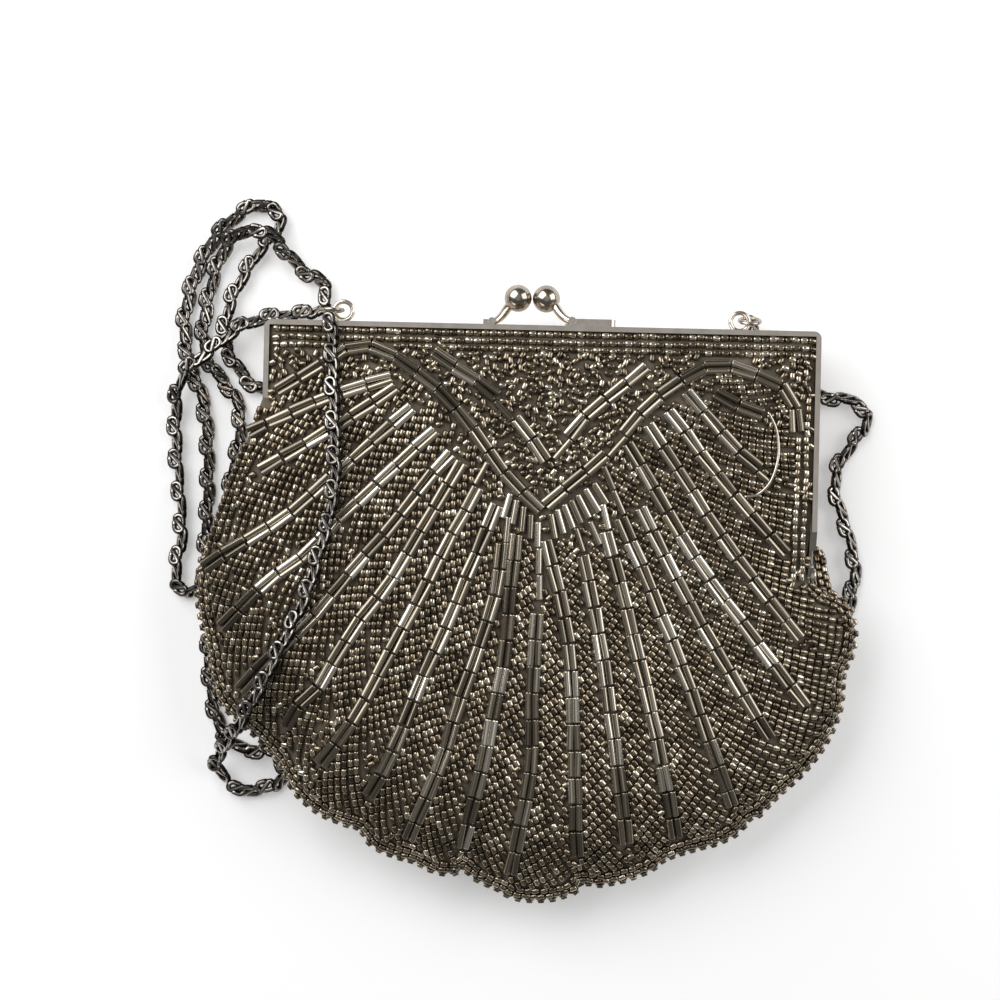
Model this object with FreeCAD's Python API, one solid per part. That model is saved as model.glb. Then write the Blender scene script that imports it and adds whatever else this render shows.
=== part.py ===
import FreeCAD, Part
import math
import os

# A beaded evening purse on a hinged metal frame with a kiss-lock clasp and a long chain strap.
# It lies on its back: +X runs along the frame's rail, +Y goes up to the clasp, +Z comes out of
# the front face. All lengths are in millimetres, and the table is the plane Z = 0.

V = FreeCAD.Vector
os.makedirs("parts", exist_ok=True)

# Frame halves: two U-shaped strips of folded sheet that close against each other.
FRAME_WIDTH = 150.0
LEG_LENGTH = 66.0
HALF_DEPTH = 7.0
SHEET = 0.8
LIP = 1.4
FLANGE = 4.0
PARTING_GAP = 0.2
BACK_LIFT = 7.5
CORNER_RADIUS = 2.0

# Hinge: one rivet at the foot of each pair of legs.
EAR_RADIUS = 3.2
SHANK_RADIUS = 1.0
RUNNING_CLEARANCE = 0.05
EAR_OFFSET = 0.2
HEAD_RADIUS = 2.2
HEAD_THICK = 0.8
TAIL_RADIUS = 1.8
EAR_TAPER = 12.0
EAR_TIP_DROP = 1.4
EAR_TIP_DEEP = 2.8
HEAD_ROUND = 0.5
TAIL_PLAY = 0.1
HINGE_ROOM_IN = 3.9
HINGE_ROOM_OUT = 1.0
HINGE_ROOM_BACK = 4.2
HINGE_ROOM_FRONT = 6.0
LEG_STOP = 7.0
FLANGE_STOP = 5.5

# Kiss lock: two balls on springy arms, one on each half.
BALL_RADIUS = 3.75
BALL_GAP = 0.2
BALL_HEIGHT = 7.75
CLASP_ROOM = 12.65
LOCK_OFFSET = -3.0
ARM_RADIUS = 1.0
ARM_ELBOW_RADIUS = 1.15
ARM_NECK_RADIUS = 1.3
KNUCKLE_RADIUS = 1.05
KNUCKLE_LENGTH = 3.6
KNUCKLE_CLEARANCE = 0.08
KNUCKLE_OUT = 10.85
KNUCKLE_UP = 1.55
FOOT_START = 9.0
FOOT_STEP = 10.4
FOOT_END = 22.6
BACK_FOOT_STEP_END = 13.2
FOOT_PLATE = 0.6
FOOT_THICK = 2.0
FOOT_DEPTH = 5.0
FOOT_INSET = 1.2
FOOT_ROUND = 1.5
ARM_ELBOW_OUT = 8.5
ARM_ELBOW_UP = 2.75
ARM_ELBOW_DEEP = 2.75
ARM_NECK_OUT = 6.7
ARM_NECK_UP = 5.1
ARM_NECK_DEEP = 1.2

# Strap eyes on the rail, and the jump rings that the chain's ends hang from.
EYE_X = 54.0
EYE_RADIUS = 2.5
EYE_WIRE = 0.65
EYE_UP = 2.95
RING_RADIUS = 2.8
RING_WIRE = 0.55
RING_OUT = 0.4
RING_DEEP = 1.35
RIGHT_RING_TILT = 20.0

# Pouch: two beaded panels sewn together round a scalloped rim.
POUCH_LEFT = 93.0
POUCH_RIGHT = 84.5
POUCH_DROP = 154.5
WIDEST_BELOW_HINGE = 10.0
LOBES = 11
SCALLOP_DEPTH = 2.2
BEADING_WIDTH = 2.0
BEADING_THICK = 2.4
PANEL = 3.0
RIM_SEAM = 4.0
BELLY_HALF = 56.0
BELLY_DROP = 124.0
BELLY_TOP_DROP = 50.0
FRONT_BELLY = 11.0
SHOULDER_IN = 0.3
FRONT_SHOULDER_RISE = 0.65
BACK_SHOULDER_RISE = 0.52
FLAP_TOP_DROP = 30.0
EDGE_THICK = 3.5
FOLD_ABOVE = 12.0
FOLD_BELOW = 4.5
LINING = 0.6
SEWN_PLAY = 0.1
FOLD_INSET = 4.2
FOLD_EDGE_DROP = 4.2
FOLD_SLOPE_IN = 1.0

# Chain strap: a limp chain, drawn as a round tube along its lie, from the left eye over the
# front, in a hank on the table at the left, under the purse and out in a loop at the right.
STRAP_DIAMETER = 3.8
STRAP_UPPER = [
    (-52.9, 73.4, 25.0), (-52.5, 65.5, 24.1), (-52.0, 56.0, 25.7), (-51.5, 47.5, 27.0), (-51.0, 39.5, 27.9),
    (-50.5, 31.5, 27.9), (-51.0, 23.5, 27.9), (-51.75, 19.25, 27.9),
]
STRAP_FOLD = [
    (-51.75, 19.25, 27.9), (-52.5, 15.0, 27.9), (-55.0, 7.0, 27.9), (-57.0, -1.0, 27.9), (-58.5, -4.75, 27.65),
]
STRAP_LOWER = [
    (-58.5, -4.75, 27.65), (-60.0, -8.5, 27.4), (-64.0, -16.5, 26.7), (-68.0, -25.0, 25.7), (-72.5, -32.5, 24.4),
    (-76.7, -39.2, 20.8), (-80.9, -43.9, 16.0), (-84.0, -47.4, 10.0), (-84.5, -51.0, 5.3), (-82.0, -54.0, 3.2),
    (-80.25, -55.15, 2.65),
]
STRAP_HANK = [
    (-80.25, -55.15, 2.65), (-78.5, -56.3, 2.1), (-74.5, -57.6, 2.1), (-70.0, -57.5, 2.1), (-66.0, -55.2, 2.1),
    (-66.0, -50.6, 2.1), (-70.0, -48.3, 2.1), (-76.5, -48.3, 2.1), (-82.5, -46.5, 2.1), (-86.5, -42.5, 2.1), (-88.5, -36.0, 2.1),
    (-89.5, -28.5, 2.1), (-89.5, -20.0, 2.1), (-88.0, -11.5, 2.1), (-85.8, -3.5, 2.1), (-84.8, 5.5, 2.1),
    (-84.3, 14.5, 2.1), (-83.5, 23.0, 2.1), (-82.0, 32.0, 2.1), (-81.0, 39.5, 2.1), (-81.0, 46.5, 2.1),
    (-82.5, 51.0, 2.1), (-86.0, 54.5, 2.1), (-90.0, 58.5, 2.1), (-93.0, 63.0, 2.1), (-94.0, 69.0, 2.1),
    (-93.5, 75.5, 2.1), (-91.0, 82.0, 2.1), (-88.0, 88.5, 2.1), (-84.0, 94.0, 3.0), (-79.5, 97.0, 6.3),
    (-75.5, 97.5, 6.6), (-71.0, 96.5, 6.6), (-67.0, 93.5, 4.5), (-64.0, 90.0, 2.3), (-60.5, 86.0, 2.1),
    (-56.5, 83.0, 2.1), (-57.0, 78.0, 2.1), (-62.0, 75.5, 2.1), (-68.0, 75.0, 2.1), (-74.0, 74.0, 2.6),
    (-78.5, 72.0, 5.2), (-82.5, 69.5, 6.7), (-87.0, 66.0, 6.7), (-91.5, 62.5, 6.7), (-95.5, 59.5, 6.7),
    (-99.5, 56.5, 6.4), (-102.5, 51.5, 3.6), (-102.0, 45.0, 2.1), (-101.0, 37.0, 2.1), (-99.5, 27.5, 2.1),
    (-98.5, 17.5, 2.1), (-98.0, 10.5, 2.1), (-98.0, 5.5, 2.1), (-98.0, 1.4, 2.1), (-95.8, -0.8, 2.1),
    (-92.7, -0.8, 2.1), (-90.5, 1.4, 2.1), (-90.5, 5.5, 2.1), (-90.5, 11.5, 2.1), (-90.5, 20.5, 2.1), (-90.5, 30.5, 2.1), (-90.5, 41.0, 2.1), (-92.5, 50.0, 2.1),
    (-96.0, 57.0, 2.1), (-98.5, 64.0, 2.1), (-99.0, 71.0, 2.1), (-98.5, 78.0, 2.1), (-96.0, 85.5, 2.1),
    (-91.5, 94.0, 2.1), (-86.0, 100.0, 2.1), (-79.5, 104.5, 2.1), (-74.0, 105.5, 2.1), (-70.5, 102.5, 2.1),
    (-71.5, 97.5, 2.1), (-75.0, 93.0, 2.1), (-78.5, 88.5, 2.1), (-82.5, 83.0, 2.1), (-85.5, 77.5, 2.1),
    (-87.0, 72.0, 2.1), (-86.5, 66.5, 2.1), (-84.0, 61.0, 2.1), (-80.0, 56.0, 2.1), (-75.5, 52.5, 2.1),
    (-72.25, 51.75, 2.1),
]
STRAP_UNDER = [
    (-72.25, 51.75, 2.1), (-69.0, 51.0, 2.1), (-60.0, 52.5, 2.1), (-46.5, 54.0, 2.1), (-27.0, 55.0, 2.1),
    (-5.0, 56.0, 2.1), (17.5, 56.0, 2.1), (37.0, 55.0, 2.1), (50.5, 54.5, 2.1), (60.0, 52.0, 2.1), (67.5, 47.0, 2.1),
    (72.5, 38.5, 2.1), (75.5, 30.0, 2.1), (77.0, 21.5, 2.1), (79.0, 11.5, 2.1), (81.0, 2.0, 2.1), (81.5, -1.0, 2.1),
]
STRAP_RIGHT = [
    (81.5, -1.0, 2.1), (82.0, -4.0, 2.1), (83.8, -7.4, 2.1), (87.8, -7.8, 2.1), (90.6, -4.6, 2.1), (91.8, 0.4, 2.1),
    (92.8, 6.0, 2.1), (91.5, 13.0, 2.1), (89.0, 20.5, 2.1),
    (86.5, 27.0, 2.1), (86.5, 34.0, 2.1), (89.5, 39.5, 2.1), (93.0, 44.0, 2.1), (95.2, 48.0, 2.1), (93.6, 52.2, 2.1),
    (89.0, 53.6, 2.1), (84.0, 54.0, 2.1), (79.0, 55.0, 2.1), (72.5, 59.5, 2.1), (67.0, 65.0, 2.1), (63.0, 70.5, 2.4), (61.3, 75.4, 4.9),
]

# Where the pieces stand in the part's frame: the origin is under the middle of the purse.
RAIL_Y = (POUCH_DROP - CLASP_ROOM) / 2
MID_X = (POUCH_LEFT - POUCH_RIGHT) / 2
HINGE_Y = RAIL_Y - LEG_LENGTH
PART_Z = BACK_LIFT + HALF_DEPTH + PARTING_GAP / 2
HALF_WIDTH = FRAME_WIDTH / 2
WIDEST_DROP = LEG_LENGTH + WIDEST_BELOW_HINGE
WIDEST_Y = RAIL_Y - WIDEST_DROP
POUCH_TOP_Y = HINGE_Y - FOLD_BELOW
FOLD_TOP_Y = HINGE_Y + FOLD_ABOVE
FRONT_TOP_Z = PART_Z + FRONT_BELLY


def box(x0, x1, y0, y1, z0, z1):
    return Part.makeBox(x1 - x0, y1 - y0, z1 - z0, V(x0, y0, z0))


def cylinder_x(x0, x1, y, z, radius):
    return Part.makeCylinder(radius, x1 - x0, V(x0, y, z), V(1, 0, 0))


def to_front(shape):
    """Mirrors a shape of the back half to the front half, across the plane where they close."""
    return shape.mirror(V(0, 0, PART_Z), V(0, 0, 1))


def to_left(shape):
    """Mirrors a shape of the frame's right end to its left end."""
    return shape.mirror(V(MID_X, 0, 0), V(1, 0, 0))


def fused(first, *others):
    whole = first.fuse(list(others))
    return whole.removeSplitter()


def yz_plate(points, x0, x1):
    """A flat plate across X whose outline is a list of (y, z) corners."""
    corners = [V(x0, y, z) for y, z in points]
    return Part.Face(Part.makePolygon(corners + corners[:1])).extrude(V(x1 - x0, 0, 0))


def half_shell(low_y):
    """The back half's folded strip: outer wall, back lip and inner flange."""
    z0, z1 = BACK_LIFT, BACK_LIFT + HALF_DEPTH
    outer = box(MID_X - HALF_WIDTH, MID_X + HALF_WIDTH, low_y, RAIL_Y, z0, z1)
    corners = [
        e for e in outer.Edges
        if e.BoundBox.ZLength > HALF_DEPTH / 2 and e.BoundBox.YMax > RAIL_Y - 0.01
    ]
    outer = outer.makeFillet(CORNER_RADIUS, corners)
    inside = HALF_WIDTH - SHEET
    hollow = box(MID_X - inside, MID_X + inside, low_y - 1, RAIL_Y - SHEET, z0 + SHEET, z1 - SHEET)
    lip_open = box(MID_X - HALF_WIDTH + LIP, MID_X + HALF_WIDTH - LIP, low_y - 1, RAIL_Y - LIP, z0 - 1, z1 - 1)
    throat = inside - FLANGE
    mouth = box(MID_X - throat, MID_X + throat, low_y - 1, RAIL_Y - SHEET - FLANGE, z0, z1 + 1)
    return outer.cut(hollow).cut(lip_open).cut(mouth)


def ear_outline():
    """The taper of a leg's end down to its ear, as (y, z) corners of the back half."""
    return [
        (HINGE_Y + EAR_TAPER, BACK_LIFT),
        (HINGE_Y - EAR_TIP_DROP, PART_Z - EAR_TIP_DEEP),
        (HINGE_Y, PART_Z - PARTING_GAP / 2),
        (HINGE_Y + EAR_TAPER, PART_Z - PARTING_GAP / 2),
    ]


def back_frame():
    shell = half_shell(HINGE_Y + EAR_TAPER)
    x1 = MID_X + HALF_WIDTH
    x0 = x1 - SHEET
    taper = yz_plate(ear_outline(), x0, x1)
    disc = cylinder_x(x0, x1, HINGE_Y, PART_Z, EAR_RADIUS)
    hole = cylinder_x(x0 - 1, x1 + 1, HINGE_Y, PART_Z, SHANK_RADIUS)
    ear = fused(taper, disc).cut(hole)
    return fused(shell, ear, to_left(ear))


def front_frame():
    shell = to_front(half_shell(HINGE_Y + EAR_TAPER))
    wall_x1 = MID_X + HALF_WIDTH
    wall_x0 = wall_x1 - SHEET
    x1 = wall_x0 - EAR_OFFSET
    x0 = x1 - SHEET
    outline = [(y, 2 * PART_Z - z) for y, z in ear_outline()]
    taper = yz_plate(outline, x0, x1)
    disc = cylinder_x(x0, x1, HINGE_Y, PART_Z, EAR_RADIUS)
    hole = cylinder_x(x0 - 1, x1 + 1, HINGE_Y, PART_Z, SHANK_RADIUS + RUNNING_CLEARANCE)
    joggle = yz_plate(outline, x0, wall_x1).common(
        box(x0, wall_x1, HINGE_Y + LEG_STOP, HINGE_Y + EAR_TAPER, PART_Z, PART_Z + HALF_DEPTH + 1))
    ear = fused(taper, disc, joggle).cut(hole)
    return fused(shell, ear, to_left(ear))


def hinge_rivet():
    """The right rivet: a domed head outside, a shank through both ears, a clenched tail inside."""
    head_x = MID_X + HALF_WIDTH
    tail_x = head_x - 2 * SHEET - EAR_OFFSET - TAIL_PLAY
    shank = cylinder_x(tail_x, head_x, HINGE_Y, PART_Z, SHANK_RADIUS)
    head = cylinder_x(head_x, head_x + HEAD_THICK, HINGE_Y, PART_Z, HEAD_RADIUS)
    rim = [e for e in head.Edges if abs(e.BoundBox.XMin - head_x - HEAD_THICK) < 0.01 and e.BoundBox.XLength < 0.01]
    head = head.makeFillet(HEAD_ROUND, rim)
    tail = cylinder_x(tail_x - HEAD_THICK, tail_x, HINGE_Y, PART_Z, TAIL_RADIUS)
    return fused(head, shank, tail)


LOCK_X = MID_X + LOCK_OFFSET
BALL_OUT = BALL_RADIUS + BALL_GAP / 2
FOOT_Z = PART_Z + PARTING_GAP / 2 + FOOT_INSET + FOOT_DEPTH / 2


def to_back_knob(shape):
    """Turns a piece of the front knob half round the line where the balls meet."""
    turned = shape.copy()
    turned.rotate(V(LOCK_X, 0, PART_Z), V(0, 1, 0), 180)
    return turned


def knuckle(radius, length):
    centre = V(LOCK_X + KNUCKLE_OUT, RAIL_Y + KNUCKLE_UP, FOOT_Z - length / 2)
    return Part.makeCylinder(radius, length, centre, V(0, 0, 1))


def knob_foot(step_end):
    """A plate on the rail with a thicker step, whose end is hollowed for the arm's knuckle."""
    low_z, high_z = FOOT_Z - FOOT_DEPTH / 2, FOOT_Z + FOOT_DEPTH / 2
    plate = box(LOCK_X + FOOT_START, LOCK_X + FOOT_END, RAIL_Y, RAIL_Y + FOOT_PLATE, low_z, high_z)
    step = box(LOCK_X + FOOT_STEP, LOCK_X + step_end, RAIL_Y, RAIL_Y + FOOT_THICK, low_z, high_z)
    foot = fused(plate, step)
    ends = [
        e for e in foot.Edges
        if e.BoundBox.YLength > FOOT_PLATE - 0.01 and e.BoundBox.XMin > LOCK_X + FOOT_END - 0.01 and e.BoundBox.ZLength < 0.01
    ]
    foot = foot.makeFillet(FOOT_ROUND, ends)
    return foot.cut(knuckle(KNUCKLE_RADIUS + KNUCKLE_CLEARANCE, FOOT_DEPTH + 2))


def ball_centre():
    return V(LOCK_X + BALL_OUT, RAIL_Y + BALL_HEIGHT, PART_Z)


def knob_ball():
    return Part.makeSphere(BALL_RADIUS, ball_centre())


def rounded_route(points):
    """Straight runs joined by tangent arcs: returns the wire and the smallest arc radius."""
    edges = []
    radii = []
    at = points[0]
    for before, corner, after in zip(points, points[1:], points[2:]):
        arrive = (corner - before).normalize()
        leave = (after - corner).normalize()
        half_turn = arrive.getAngle(leave) / 2
        if half_turn < 0.004:
            continue
        reach = 0.45 * min((corner - before).Length, (after - corner).Length)
        start = corner - arrive * reach
        end = corner + leave * reach
        radius = reach / math.tan(half_turn)
        radii.append(radius)
        inward = (leave - arrive).normalize()
        middle = corner + inward * (radius / math.cos(half_turn) - radius)
        if (start - at).Length > 0.001:
            edges.append(Part.LineSegment(at, start).toShape())
        edges.append(Part.Arc(start, middle, end).toShape())
        at = end
    edges.append(Part.LineSegment(at, points[-1]).toShape())
    return Part.Wire(edges), min(radii) if radii else 0.0


def tube(points, radius):
    """A round tube along a route, and the route's length and tightest bend."""
    wire, tightest = rounded_route(points)
    start = points[0]
    circle = Part.Circle(start, points[1] - start, radius)
    profile = Part.Wire(circle.toShape())
    return wire.makePipeShell([profile], True, False), wire.Length, tightest


def knob_arm():
    """The swan-necked arm, which swells from its knuckle up to the ball."""
    root = V(LOCK_X + KNUCKLE_OUT, RAIL_Y + KNUCKLE_UP, FOOT_Z)
    elbow = V(LOCK_X + ARM_ELBOW_OUT, RAIL_Y + ARM_ELBOW_UP, PART_Z + ARM_ELBOW_DEEP)
    neck = V(LOCK_X + ARM_NECK_OUT, RAIL_Y + ARM_NECK_UP, PART_Z + ARM_NECK_DEEP)
    bends = [root, elbow, neck, ball_centre()]
    spine = Part.BSplineCurve()
    spine.interpolate(bends)
    rings = []
    for place, radius in zip(bends, (ARM_RADIUS, ARM_ELBOW_RADIUS, ARM_NECK_RADIUS, ARM_NECK_RADIUS)):
        ahead = spine.tangent(spine.parameter(place))[0]
        rings.append(Part.Wire(Part.Circle(place, ahead, radius).toShape()))
    rod = Part.makeLoft(rings, True, False)
    return fused(rod, knuckle(KNUCKLE_RADIUS, KNUCKLE_LENGTH)).cut(knob_ball())


def ring(centre, normal, radius, wire):
    return Part.makeTorus(radius, wire, centre, normal)


def strap_eye(x, z):
    centre = V(x, RAIL_Y + EYE_UP, z)
    eye = ring(centre, V(0, 0, 1), EYE_RADIUS, EYE_WIRE)
    room = 2 * EYE_RADIUS
    return eye.cut(box(x - room, x + room, RAIL_Y - room, RAIL_Y, z - room, z + room))


LEFT_EYE = V(MID_X - EYE_X, RAIL_Y + EYE_UP, PART_Z + PARTING_GAP / 2 + HALF_DEPTH / 2)
RIGHT_EYE = V(MID_X + EYE_X, RAIL_Y + EYE_UP, PART_Z - PARTING_GAP / 2 - HALF_DEPTH / 2)


def left_jump_ring():
    centre = LEFT_EYE + V(-EYE_RADIUS - RING_OUT, 0, RING_DEEP)
    return ring(centre, V(0, 1, 0), RING_RADIUS, RING_WIRE)


def right_jump_ring():
    tilt = math.radians(RIGHT_RING_TILT)
    away = V(0, math.sin(tilt), -math.cos(tilt))
    centre = RIGHT_EYE + V(EYE_RADIUS + RING_OUT, 0, 0) + away * RING_DEEP
    return ring(centre, V(0, math.cos(tilt), math.sin(tilt)), RING_RADIUS, RING_WIRE)


def rim_point(half_left, half_right, depth, angle):
    """A point of the pouch's lower outline, by its angle below the widest line."""
    half = half_right if math.cos(angle) > 0 else half_left
    return half * math.cos(angle) + MID_X, WIDEST_Y - depth * math.sin(angle)


def pouch_outline(half_left, half_right, depth, scallop, z):
    """The lower pouch's closed outline: scalloped round the bottom, with a straight open top."""
    step = math.pi / LOBES
    edges = []
    for lobe in range(LOBES):
        ends = []
        for angle, inset in ((lobe * step, scallop), ((lobe + 0.5) * step, 0.0), ((lobe + 1) * step, scallop)):
            x, y = rim_point(half_left - inset, half_right - inset, depth - inset, angle)
            ends.append(V(x, y, z))
        edges.append(Part.Arc(*ends).toShape())
    right = edges[0].valueAt(edges[0].FirstParameter)
    left = edges[-1].valueAt(edges[-1].LastParameter)
    top_right = V(right.x - (half_right - BELLY_HALF) * 0.12, POUCH_TOP_Y, z)
    top_left = V(left.x + (half_left - BELLY_HALF) * 0.12, POUCH_TOP_Y, z)
    edges.append(Part.LineSegment(left, top_left).toShape())
    edges.append(Part.LineSegment(top_left, top_right).toShape())
    edges.append(Part.LineSegment(top_right, right).toShape())
    return Part.Wire(edges)


def rim_outline(inset, z):
    return pouch_outline(POUCH_LEFT - inset, POUCH_RIGHT - inset, POUCH_DROP - WIDEST_DROP - inset, SCALLOP_DEPTH, z)


def belly_outline(inset, z):
    half = BELLY_HALF - inset
    return pouch_outline(half, half, BELLY_DROP - WIDEST_DROP - inset, 0.0, z)


def shoulder_outline(inset, belly_z):
    """The ring where the wall turns from its steep edge to its flatter middle."""
    rim_depth = POUCH_DROP - WIDEST_DROP
    belly_depth = BELLY_DROP - WIDEST_DROP
    left = POUCH_LEFT + (BELLY_HALF - POUCH_LEFT) * SHOULDER_IN - inset
    right = POUCH_RIGHT + (BELLY_HALF - POUCH_RIGHT) * SHOULDER_IN - inset
    depth = rim_depth + (belly_depth - rim_depth) * SHOULDER_IN - inset
    rise = FRONT_SHOULDER_RISE if facing(belly_z) > 0 else BACK_SHOULDER_RISE
    z = PART_Z + (belly_z - PART_Z) * rise - facing(belly_z) * inset / 2
    return pouch_outline(left, right, depth, SCALLOP_DEPTH / 2, z)


def loft(*wires):
    return Part.makeLoft(list(wires), True, True)


def rectangle(x0, x1, y0, y1, z):
    corners = [V(x0, y0, z), V(x1, y0, z), V(x1, y1, z), V(x0, y1, z)]
    return Part.makePolygon(corners + corners[:1])


def facing(belly_z):
    """1 for a wall of the front, whose belly is above the parting plane, and -1 for the back."""
    return 1 if belly_z > PART_Z else -1


def lower_hollow(inset, belly_z):
    """The room inside the lower pouch's wall, between the rim plane and a belly."""
    rim = rim_outline(BEADING_WIDTH + RIM_SEAM + inset, PART_Z)
    return loft(rim, shoulder_outline(inset, belly_z), belly_outline(inset, belly_z - facing(belly_z) * inset))


def lower_wall(belly_z):
    outer = loft(rim_outline(BEADING_WIDTH, PART_Z), shoulder_outline(0.0, belly_z), belly_outline(0.0, belly_z))
    return outer.cut(lower_hollow(PANEL, belly_z))


def neck_hollow(inset, low_y, top_drop, belly_z):
    """The room behind the wall that spans the frame's legs, down to a level line of Y."""
    side = facing(belly_z)
    edge_z = PART_Z + side * (PARTING_GAP / 2 + HALF_DEPTH - SHEET - EDGE_THICK)
    wide = HALF_WIDTH - LIP - inset
    narrow = BELLY_HALF - inset / 3
    return loft(
        rectangle(MID_X - wide, MID_X + wide, low_y, RAIL_Y - LIP - inset, edge_z),
        rectangle(MID_X - narrow, MID_X + narrow, low_y, RAIL_Y - top_drop - inset, belly_z - side * inset))


def neck_wall(low_y, top_drop, belly_z):
    """The cloth between the frame's legs: an edge held under the lip, and a raised middle."""
    side = facing(belly_z)
    lip_z = PART_Z + side * (PARTING_GAP / 2 + HALF_DEPTH - SHEET)
    edge_z = lip_z - side * EDGE_THICK
    under_lip = HALF_WIDTH - SHEET - SEWN_PLAY
    bare = HALF_WIDTH - LIP - SEWN_PLAY
    shelf = box(MID_X - under_lip, MID_X + under_lip, low_y, RAIL_Y - SHEET - SEWN_PLAY,
                min(lip_z, edge_z), max(lip_z, edge_z))
    crown = loft(
        rectangle(MID_X - bare, MID_X + bare, low_y, RAIL_Y - LIP - SEWN_PLAY, lip_z),
        rectangle(MID_X - BELLY_HALF, MID_X + BELLY_HALF, low_y, RAIL_Y - top_drop, belly_z))
    return fused(shelf, crown).cut(neck_hollow(PANEL, low_y, top_drop, belly_z))


def neck_lining(low_y, top_drop, belly_z):
    outer = neck_hollow(PANEL, low_y, top_drop, belly_z)
    return outer.cut(neck_hollow(PANEL + LINING, low_y, top_drop, belly_z))


def lower_lining(belly_z):
    return lower_hollow(PANEL, belly_z).cut(lower_hollow(PANEL + LINING, belly_z))


def hinge_room():
    """The space that the ears and rivets need, which the cloth is cut away from."""
    right = box(MID_X + HALF_WIDTH - HINGE_ROOM_IN, MID_X + HALF_WIDTH + HINGE_ROOM_OUT,
                HINGE_Y - FOLD_BELOW, HINGE_Y + FLANGE_STOP + HINGE_ROOM_OUT,
                PART_Z - HINGE_ROOM_BACK, PART_Z + HALF_DEPTH + HINGE_ROOM_FRONT)
    return right.fuse(to_left(right))


def back_panel():
    neck = neck_wall(POUCH_TOP_Y, BELLY_TOP_DROP, 0.0)
    return fused(lower_wall(0.0), neck).cut(hinge_room())


def back_lining():
    neck = neck_lining(POUCH_TOP_Y, BELLY_TOP_DROP, 0.0)
    return fused(lower_lining(0.0), neck).cut(hinge_room())


def front_panel_upper():
    return neck_wall(FOLD_TOP_Y, FLAP_TOP_DROP, FRONT_TOP_Z)


def front_lining_upper():
    return neck_lining(FOLD_TOP_Y, FLAP_TOP_DROP, FRONT_TOP_Z)


def front_panel_fold():
    """The strip of front cloth at the hinge line, which creases when the frame opens."""
    half = HALF_WIDTH - FOLD_INSET
    inner_half = BELLY_HALF - FOLD_SLOPE_IN
    edge_z = FRONT_TOP_Z - FOLD_EDGE_DROP
    profile = [
        (-half, edge_z - PANEL), (-half, edge_z), (-BELLY_HALF, FRONT_TOP_Z), (BELLY_HALF, FRONT_TOP_Z),
        (half, edge_z), (half, edge_z - PANEL), (inner_half, FRONT_TOP_Z - PANEL), (-inner_half, FRONT_TOP_Z - PANEL),
    ]
    corners = [V(MID_X + x, POUCH_TOP_Y, z) for x, z in profile]
    return Part.Face(Part.makePolygon(corners + corners[:1])).extrude(V(0, FOLD_TOP_Y - POUCH_TOP_Y, 0))


def front_panel_lower():
    return lower_wall(FRONT_TOP_Z)


def front_lining_lower():
    return lower_lining(FRONT_TOP_Z)


def rim_beading():
    z = PART_Z - BEADING_THICK / 2
    up = V(0, 0, BEADING_THICK)
    outer = Part.Face(rim_outline(0.0, z)).extrude(up)
    inner = Part.Face(rim_outline(BEADING_WIDTH, z)).extrude(up)
    return outer.cut(inner)


def strap(route, name):
    """One stretch of the chain as a tube; prints its length and its tightest bend."""
    shape, length, tightest = tube([V(*p) for p in route], STRAP_DIAMETER / 2)
    print(name, "length", round(length, 1), "mm, tightest bend radius", round(tightest, 2), "mm")
    return shape


def least_gap(route):
    """The smallest space between two stretches of one tube that aren't neighbours along it."""
    wire, tightest = rounded_route([V(*p) for p in route])
    spots = wire.discretize(Distance=0.8)
    step = wire.Length / (len(spots) - 1)
    apart = int(4 * STRAP_DIAMETER / step)
    least = min((a - b).Length for i, a in enumerate(spots) for b in spots[i + apart:])
    return least - STRAP_DIAMETER


print("hank: least gap to itself", round(least_gap(STRAP_HANK), 2), "mm")

pieces = {
    "back_frame": back_frame(),
    "front_frame": front_frame(),
    "right_hinge_rivet": hinge_rivet(),
    "left_hinge_rivet": to_left(hinge_rivet()),
    "front_knob_foot": knob_foot(FOOT_END),
    "front_knob_arm": knob_arm(),
    "front_knob_ball": knob_ball(),
    "back_knob_foot": to_back_knob(knob_foot(BACK_FOOT_STEP_END)),
    "back_knob_arm": to_back_knob(knob_arm()),
    "back_knob_ball": to_back_knob(knob_ball()),
    "left_strap_eye": strap_eye(LEFT_EYE.x, LEFT_EYE.z),
    "right_strap_eye": strap_eye(RIGHT_EYE.x, RIGHT_EYE.z),
    "left_jump_ring": left_jump_ring(),
    "right_jump_ring": right_jump_ring(),
    "back_panel": back_panel(),
    "front_panel_upper": front_panel_upper(),
    "front_panel_fold": front_panel_fold(),
    "front_panel_lower": front_panel_lower(),
    "rim_beading": rim_beading(),
    "back_lining": back_lining(),
    "front_lining_upper": front_lining_upper(),
    "front_lining_lower": front_lining_lower(),
    "strap_front_upper": strap(STRAP_UPPER, "strap_front_upper"),
    "strap_front_fold": strap(STRAP_FOLD, "strap_front_fold"),
    "strap_front_lower": strap(STRAP_LOWER, "strap_front_lower"),
    "strap_hank": strap(STRAP_HANK, "strap_hank"),
    "strap_under_run": strap(STRAP_UNDER, "strap_under_run"),
    "strap_right_loop": strap(STRAP_RIGHT, "strap_right_loop"),
}

for node, shape in pieces.items():
    b = shape.BoundBox
    print(node, "valid" if shape.isValid() else "NOT VALID", len(shape.Solids), "solid,", round(shape.Volume / 1000, 2), "cm3",
          [round(c, 2) for c in (b.XMin, b.XMax, b.YMin, b.YMax, b.ZMin, b.ZMax)])
    shape.exportStep("parts/" + node + ".step")
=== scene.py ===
# %% [markdown]
# # A beaded evening purse with a kiss lock
# The purse lies on its back on a white table: a bright metal frame with two snapping balls, a shell
# of glass beads sewn on cloth in fan-shaped ribs, and a long chain that lies over the front and in
# a hank at the left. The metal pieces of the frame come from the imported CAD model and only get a
# finish here. The beadwork, lining and chain are built below, in the same place as the plain
# solids that stand for them in the CAD model.

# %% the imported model
import math

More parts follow.
